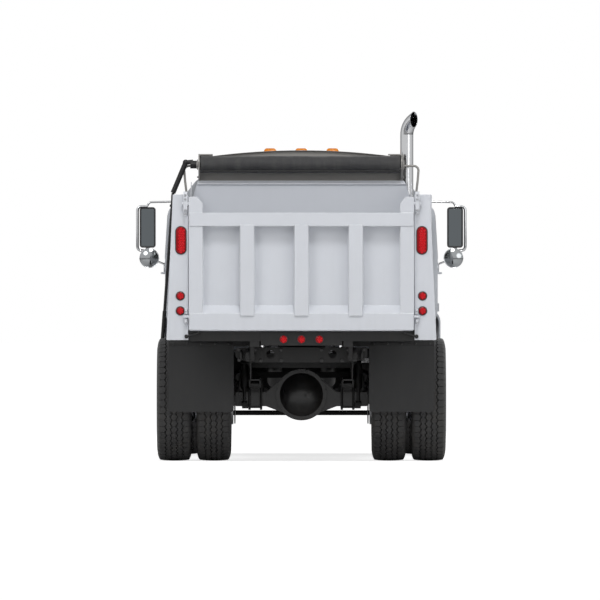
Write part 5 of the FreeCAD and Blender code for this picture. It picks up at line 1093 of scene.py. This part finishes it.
# Corners of the windows: across or along, and height
REAR_WINDOW = ((0.590, 2.330), (-0.590, 2.330), (-0.620, 1.780), (0.620, 1.780))
WINDSCREEN = ((0.835, 2.462), (-0.835, 2.462), (-0.930, 1.695), (0.930, 1.695))
DOOR_WINDOW = ((1.039, 2.380), (0.725, 2.380), (0.725, 1.730), (1.385, 1.730))
SEAT_X = 0.520
SEAT_LEAN = 99.9               # turn of a seat's back from lying flat, in degrees
BELLOWS_STEP = 0.046


def on_screen(x, z, lift=0.0):
    """A point on the windscreen's outer face, lifted off it."""
    y = SCREEN_FOOT_Y - SCREEN_LEAN * (z - COWL_Z) / (CAB_ROOF_Z - COWL_Z)
    return Vector((x, y, z)) + SCREEN_OUT * lift


def seal_round(name, corners, place, radius, body, bend):
    """A seal along a window's edge, drawn in with the cab; its corners are pairs, the second one a height."""
    spots = []
    for (u0, z0), (u1, z1) in zip(corners, corners[1:] + corners[:1]):
        spots.append((u0, z0))
        if abs(z1 - z0) > 0.3:
            for z in sorted(SEAL_BENDS, reverse=z1 < z0):
                spots.append((u0 + (u1 - u0) * (z - z0) / (z1 - z0), z))
    spots = [Vector(place(u, z)) for u, z in spots]
    middle = (spots[0] + spots[1]) / 2
    made = tube(name, [middle, *spots[1:], spots[0], middle], radius, "seal", body, bend)
    for vert in made.data.vertices:
        vert.co.x *= drawn(vert.co.z)


def add_seals():
    """Rubber seals round the windows."""
    seal_round("rear_window_seal", REAR_WINDOW, lambda x, z: (x, CAB_BACK_Y - 0.002, z), 0.009, "chassis",
               0.070)
    seal_round("windscreen_seal", WINDSCREEN, lambda x, z: on_screen(x, z, 0.001), 0.010, "chassis", 0.080)
    for side, hand in SIDES:
        seal_round(f"door_window_seal_{hand}", DOOR_WINDOW, lambda y, z: (side * cab_side(z), y, z), 0.008,
                   f"door_{hand}", 0.060)


def add_wipers():
    """Two parked wipers on the windscreen's foot."""
    bm = bmesh.new()
    for pivot_x, arm_x in ((-0.080, -0.500), (0.700, 0.280)):
        pivot = on_screen(pivot_x, 1.652)
        rod(bm, pivot - SCREEN_OUT * 0.010, pivot + SCREEN_OUT * 0.034, 0.016, sides=20, bevel=0.003)
        end = on_screen(arm_x, 1.742, 0.036)
        rod(bm, pivot + SCREEN_OUT * 0.026, end, 0.007, 0.005, sides=12)
        left, right = on_screen(arm_x - 0.270, 1.765, 0.022), on_screen(arm_x + 0.270, 1.722, 0.022)
        rod(bm, left, right, 0.0055, sides=10)
        rod(bm, left - SCREEN_OUT * 0.013, right - SCREEN_OUT * 0.013, 0.0035, sides=8)
        for share in (0.15, 0.38, 0.62, 0.85):
            spot = left.lerp(right, share)
            rod(bm, spot + SCREEN_OUT * 0.003, spot - SCREEN_OUT * 0.014, 0.0038, sides=8)
        rod(bm, end, end - SCREEN_OUT * 0.018, 0.006, sides=10)
    add_piece("wipers", bm, "seal", "chassis")


def add_cushion(name, place, half, corner, puff, seams):
    """A stuffed cushion with rounded corners, a raised middle and stitched channels."""
    bm = bmesh.new()
    bmesh.ops.create_cube(bm, size=2.0)
    bmesh.ops.subdivide_edges(bm, edges=bm.edges, cuts=23, use_grid_fill=True)
    for vert in bm.verts:
        flat = Vector([value * size for value, size in zip(vert.co, half)])
        core = Vector([max(-size + corner, min(size - corner, value)) for value, size in zip(flat, half)])
        off = flat - core
        if off.length > 1e-7:
            off.length = corner
        spot = core + off
        u, v, w = vert.co
        rise = puff * (1 - u * u) * (1 - v * v)
        for seam in seams:
            rise -= 0.010 * math.exp(-((u - seam) / 0.045) ** 2) * (1 - v ** 6)
        spot.z += rise * w
        vert.co = place @ spot
    made = add_piece(name, bm, "vinyl", "chassis", sharp=60.0, replaces=["cab_interior"])


def add_seats():
    """Two stuffed seats with head rests, on their bellows and plates."""
    bases = bmesh.new()
    lean = Matrix.Rotation(math.radians(SEAT_LEAN), 4, "X")
    for side, hand in SIDES:
        x = side * SEAT_X
        for name, y, z, turn, half, corner, puff, seams in (
                ("seat_cushion", 0.760, 1.392, Matrix(), (0.245, 0.240, 0.066), 0.050, 0.014, (-0.5, 0.5)),
                ("seat_back", 0.508, 1.765, lean, (0.235, 0.315, 0.062), 0.050, 0.014, (-0.5, 0.0, 0.5)),
                ("head_rest", 0.440, 2.178, lean, (0.138, 0.092, 0.045), 0.036, 0.010, ())):
            add_cushion(f"{name}_{hand}", Matrix.Translation((x, y, z)) @ turn, half, corner, puff, seams)
        for dx in (-0.060, 0.060):
            rod(bases, (x + dx, 0.452, 2.060), (x + dx, 0.443, 2.130), 0.007, sides=12)
        box(bases, (x - 0.205, 0.550, 1.060), (x + 0.205, 0.930, 1.085), bevel=0.006)
        for level in range(5):
            low = 1.085 + level * BELLOWS_STEP
            draw = 0.012 * (level % 2)
            box(bases, (x - 0.185 + draw, 0.565 + draw, low),
                (x + 0.185 - draw, 0.915 - draw, low + BELLOWS_STEP), bevel=0.010)
        box(bases, (x - 0.225, 0.530, 1.310), (x + 0.225, 0.985, 1.338), bevel=0.008)
    add_piece("seat_bases", bases, "plastic", "chassis", replaces=["cab_interior"])


def add_dash():
    """Dashboard with its gauge hood, gauges, vents, wheel, column, pedals, gear lever and the floor mat."""
    bm, dials, rims, mat = fresh(4)
    for low, high, bevel, segments in (((-1.035, 1.290, 1.330), (1.035, 1.500, 1.640), 0.035, 4),
                                       ((-0.800, 1.225, 1.480), (-0.240, 1.330, 1.690), 0.030, 4),
                                       ((-0.150, 1.235, 1.340), (0.230, 1.320, 1.600), 0.020, 3)):
        box(bm, low, high, bevel, segments)
    for x in (-0.930, 0.330, 0.930):
        for i in range(5):
            box(bm, (x - 0.065, 1.283, 1.530 + i * 0.016), (x + 0.065, 1.294, 1.536 + i * 0.016), bevel=0.001)
    rod(bm, (-SEAT_X, 1.330, 1.380), (-SEAT_X, 1.108, 1.690), 0.030, sides=24, bevel=0.004)
    rod(bm, (-SEAT_X, 1.102, 1.700), (-SEAT_X, 1.086, 1.726), 0.055, sides=28, bevel=0.008)
    hub = Vector((-SEAT_X, 1.095, 1.710))
    lean = Vector((0, -0.52, 0.85)).normalized()
    grip = [(along, 0.222 + away) for away, along in ring_spots(0.014, 12)]
    lathe(bm, grip, hub, lean, steps=64, closed=True)
    for way in (Vector((1, 0, 0)), Vector((-1, 0, 0)), Vector((0, -0.85, -0.52)).normalized()):
        rod(bm, hub + way * 0.030, hub + way * 0.218, 0.013, 0.009, sides=12)
    rod(bm, (-SEAT_X - 0.03, 1.135, 1.655), (-SEAT_X - 0.19, 1.120, 1.690), 0.006, sides=10, bevel=0.001)
    for x in (-0.640, -0.520, -0.390):
        box(bm, (x - 0.038, 1.395, 1.130), (x + 0.038, 1.412, 1.220), bevel=0.005)
        rod(bm, (x, 1.400, 1.200), (x, 1.470, 1.340), 0.008, sides=10)
    rod(bm, (0.0, 1.060, 1.060), (-0.020, 1.000, 1.420), 0.011, sides=14)
    ball(bm, (-0.020, 0.998, 1.435), 0.028, (1, 1, 1.15))
    lathe(bm, [(0.0, 0.075), (0.02, 0.070), (0.04, 0.052), (0.06, 0.048), (0.08, 0.032), (0.10, 0.026),
               (0.12, 0.0)], (0.0, 1.060, 1.060), (0, 0, 1), steps=28)
    add_piece("dashboard", bm, "plastic", "chassis", replaces=["cab_interior"])
    for x, z, radius in ((-0.640, 1.590, 0.055), (-0.500, 1.590, 0.055),
                         *[(x, z, 0.026) for x in (-0.390, -0.310) for z in (1.620, 1.555)]):
        rod(dials, (x, 1.2235, z), (x, 1.228, z), radius * 0.9, sides=32)
        lathe(rims, [(0.0, radius * 0.86), (0.006, radius * 0.9), (0.006, radius), (0.0, radius * 1.04)],
              (x, 1.2260, z), BACKWARD, steps=32, closed=True)
    add_piece("gauge_dials", dials, "gauge", "chassis", replaces=["cab_interior"])
    add_piece("gauge_rims", rims, "chrome", "chassis", replaces=["cab_interior"])
    box(mat, (-1.010, 0.400, 1.0605), (1.010, 1.480, 1.070), bevel=0.003)
    box(mat, (-0.160, 0.480, 1.068), (0.160, 0.940, 1.330), bevel=0.020, segments=3)
    add_piece("floor_mat", mat, "liner", "chassis", replaces=["cab_interior"])


add_seals()
add_wipers()
add_seats()
add_dash()


# Front lamps

LAMP_XS = (0.782, 0.922)
LAMP_ROW_Z = 0.968


def own_mesh(node):
    """A joined copy of a body's own mesh."""
    bm = bmesh.new()
    bm.from_mesh(nodes[node].data)
    bmesh.ops.remove_doubles(bm, verts=bm.verts, dist=1e-5)
    return bm


def add_headlamps():
    """Housings and clear covers from the lamp bodies' own outline, with dishes and bulbs inside."""
    cover, shell = own_mesh("headlamps"), own_mesh("headlamps")
    for bm, keeps_front in ((cover, True), (shell, False)):
        bm.normal_update()
        off = [face for face in bm.faces if (face.normal.y > 0.35) != keeps_front]
        bmesh.ops.delete(bm, geom=off, context="FACES")
    push_out(cover, cover.faces[:], (0, -0.004, 0))
    bmesh.ops.solidify(shell, geom=shell.faces[:], thickness=0.003)
    add_piece("headlamp_covers", cover, "lamp_glass", "hood", replaces=["headlamps"])
    dishes, bulbs = fresh(2)
    dish = [(-0.078 + 0.0135 * (i / 2) ** 2, 0.014 + 0.0104 * i) for i in range(6)]
    dish += [(along + 0.003, radius + 0.003) for along, radius in reversed(dish)]
    for x in [side * x for side in (-1, 1) for x in LAMP_XS]:
        lathe(dishes, dish, (x, 2.962, LAMP_ROW_Z), (0, 1, 0), steps=48, closed=True)
        rod(bulbs, (x, 2.885, LAMP_ROW_Z), (x, 2.925, LAMP_ROW_Z), 0.011, 0.009, sides=20, bevel=0.004)
    add_piece("headlamp_housings", shell, "plastic", "hood", replaces=["headlamps"])
    add_piece("headlamp_dishes", dishes, "reflector", "hood", replaces=["headlamps"])
    add_piece("headlamp_bulbs", bulbs, "gauge", "hood", replaces=["headlamps"])


add_headlamps()


# Upper cab, drawn in toward the roof

CAB_SHELLS = (("cab", "cab_shell", "cab", "chassis", "cab_paint"),
              ("cab_glass", "cab_panes", "glass", "chassis", "glass"),
              ("door_left", "door_shell_left", "cab", "door_left", "cab_paint"),
              ("door_right", "door_shell_right", "cab", "door_right", "cab_paint"),
              ("door_glass_left", "door_pane_left", "glass", "door_left", "glass"),
              ("door_glass_right", "door_pane_right", "glass", "door_right", "glass"))
BELT_BAND = 0.012              # height cut free on either side of the belt line, where the shading turns


def add_upper_cab():
    """Cab, doors and panes from the bodies' own outline, with their upper part narrower, as in the photo."""
    for node, name, paint, body, slot in CAB_SHELLS:
        bm = own_mesh(node)
        for z in (BELT_Z - BELT_BAND, BELT_Z + BELT_BAND, *[step[0] for step in DRAW_STEPS[:-1]]):
            bmesh.ops.bisect_plane(bm, geom=bm.verts[:] + bm.edges[:] + bm.faces[:], dist=1e-6,
                                   plane_co=(0, 0, z), plane_no=(0, 0, 1))
        for vert in bm.verts:
            vert.co.x *= drawn(vert.co.z)
        add_piece(name, bm, paint, body, sharp=28.0, replaces=[node])


add_upper_cab()


# Camera, floor and light

CAMERA_DISTANCE = 93.5
PHOTO_PIXELS = 600
METRES_PER_PIXEL = 0.0085
CAMERA_X = -0.012
CAMERA_Z = 1.365
WORLD_LIGHT = 0.33
GLOSSY_LIGHT = 0.85
FLOOR_LIFT = 0.72              # how far the floor is brought toward white
FLOOR_SIZE = 250.0


def set_camera():
    """Level view from far behind, with a long lens."""
    data = bpy.data.cameras.new("photo_camera")
    data.sensor_width = 36.0
    data.lens = data.sensor_width * CAMERA_DISTANCE / (PHOTO_PIXELS * METRES_PER_PIXEL)
    data.clip_end = 600.0
    made = bpy.data.objects.new("photo_camera", data)
    made.location = (CAMERA_X, REAR_Y - CAMERA_DISTANCE, CAMERA_Z)
    made.rotation_euler = (math.radians(90), 0, 0)
    scene.collection.objects.link(made)
    scene.camera = made


def set_world():
    """Even pale light, and white for what the camera, glass and metal see."""
    world = bpy.data.worlds.new("studio")
    scene.world = world
    world.use_nodes = True
    tree = world.node_tree
    path = put(tree, "LightPath").outputs
    seen = calc(tree, "MAXIMUM", path["Is Camera Ray"], path["Is Transmission Ray"])
    seen = calc(tree, "MAXIMUM", seen, calc(tree, "MULTIPLY", path["Is Glossy Ray"], GLOSSY_LIGHT))
    strength = spread(tree, seen, 0.0, 1.0, WORLD_LIGHT, 1.0)
    back = tree.nodes["Background"]
    back.inputs["Color"].default_value = (1.0, 1.0, 1.0, 1.0)
    tree.links.new(strength, back.inputs["Strength"])


def add_lamp(name, spot, aim, size, power):
    """A round soft light that looks at a spot."""
    data = bpy.data.lights.new(name, "AREA")
    data.shape = "DISK"
    data.size = size
    data.energy = power
    made = bpy.data.objects.new(name, data)
    made.location = spot
    made.rotation_euler = (Vector(aim) - Vector(spot)).to_track_quat("-Z", "Y").to_euler()
    scene.collection.objects.link(made)


def set_floor():
    """Pale floor that keeps the truck's shadow."""
    bm = bmesh.new()
    bmesh.ops.create_grid(bm, x_segments=1, y_segments=1, size=FLOOR_SIZE)
    mesh = bpy.data.meshes.new("floor")
    bm.to_mesh(mesh)
    bm.free()
    made = bpy.data.objects.new("floor", mesh)
    scene.collection.objects.link(made)
    paint, tree, shader = start_material("studio_floor")
    shader.inputs["Base Color"].default_value = (0.94, 0.94, 0.94, 1.0)
    shader.inputs["Roughness"].default_value = 0.9
    shader.inputs["Specular IOR Level"].default_value = 0.0
    path = put(tree, "LightPath").outputs["Is Camera Ray"]
    lift = put(tree, "Emission", {"Strength": FLOOR_LIFT})
    plain = put(tree, "Emission", {"Strength": 0.0})
    extra = put(tree, "MixShader", {0: path, 1: plain.outputs[0], 2: lift.outputs[0]})
    both = put(tree, "AddShader", {0: shader.outputs[0], 1: extra.outputs[0]})
    tree.links.new(both.outputs[0], tree.nodes["Material Output"].inputs["Surface"])
    mesh.materials.append(paint)


set_camera()
set_world()
set_floor()
for lamp in (("key", (-7.0, -13.0, 9.0), (0, 0, 1.2), 6.0, 400.0),
             ("over", (0.5, -8.5, 11.0), (0, -2.0, 1.6), 3.0, 620.0),
             ("fill", (9.0, -12.0, 5.0), (0, 0, 1.2), 7.0, 210.0),
             ("front", (5.0, 13.0, 8.0), (0, 0, 1.2), 7.0, 520.0)):
    add_lamp(*lamp)
scene.view_settings.view_transform = "Standard"
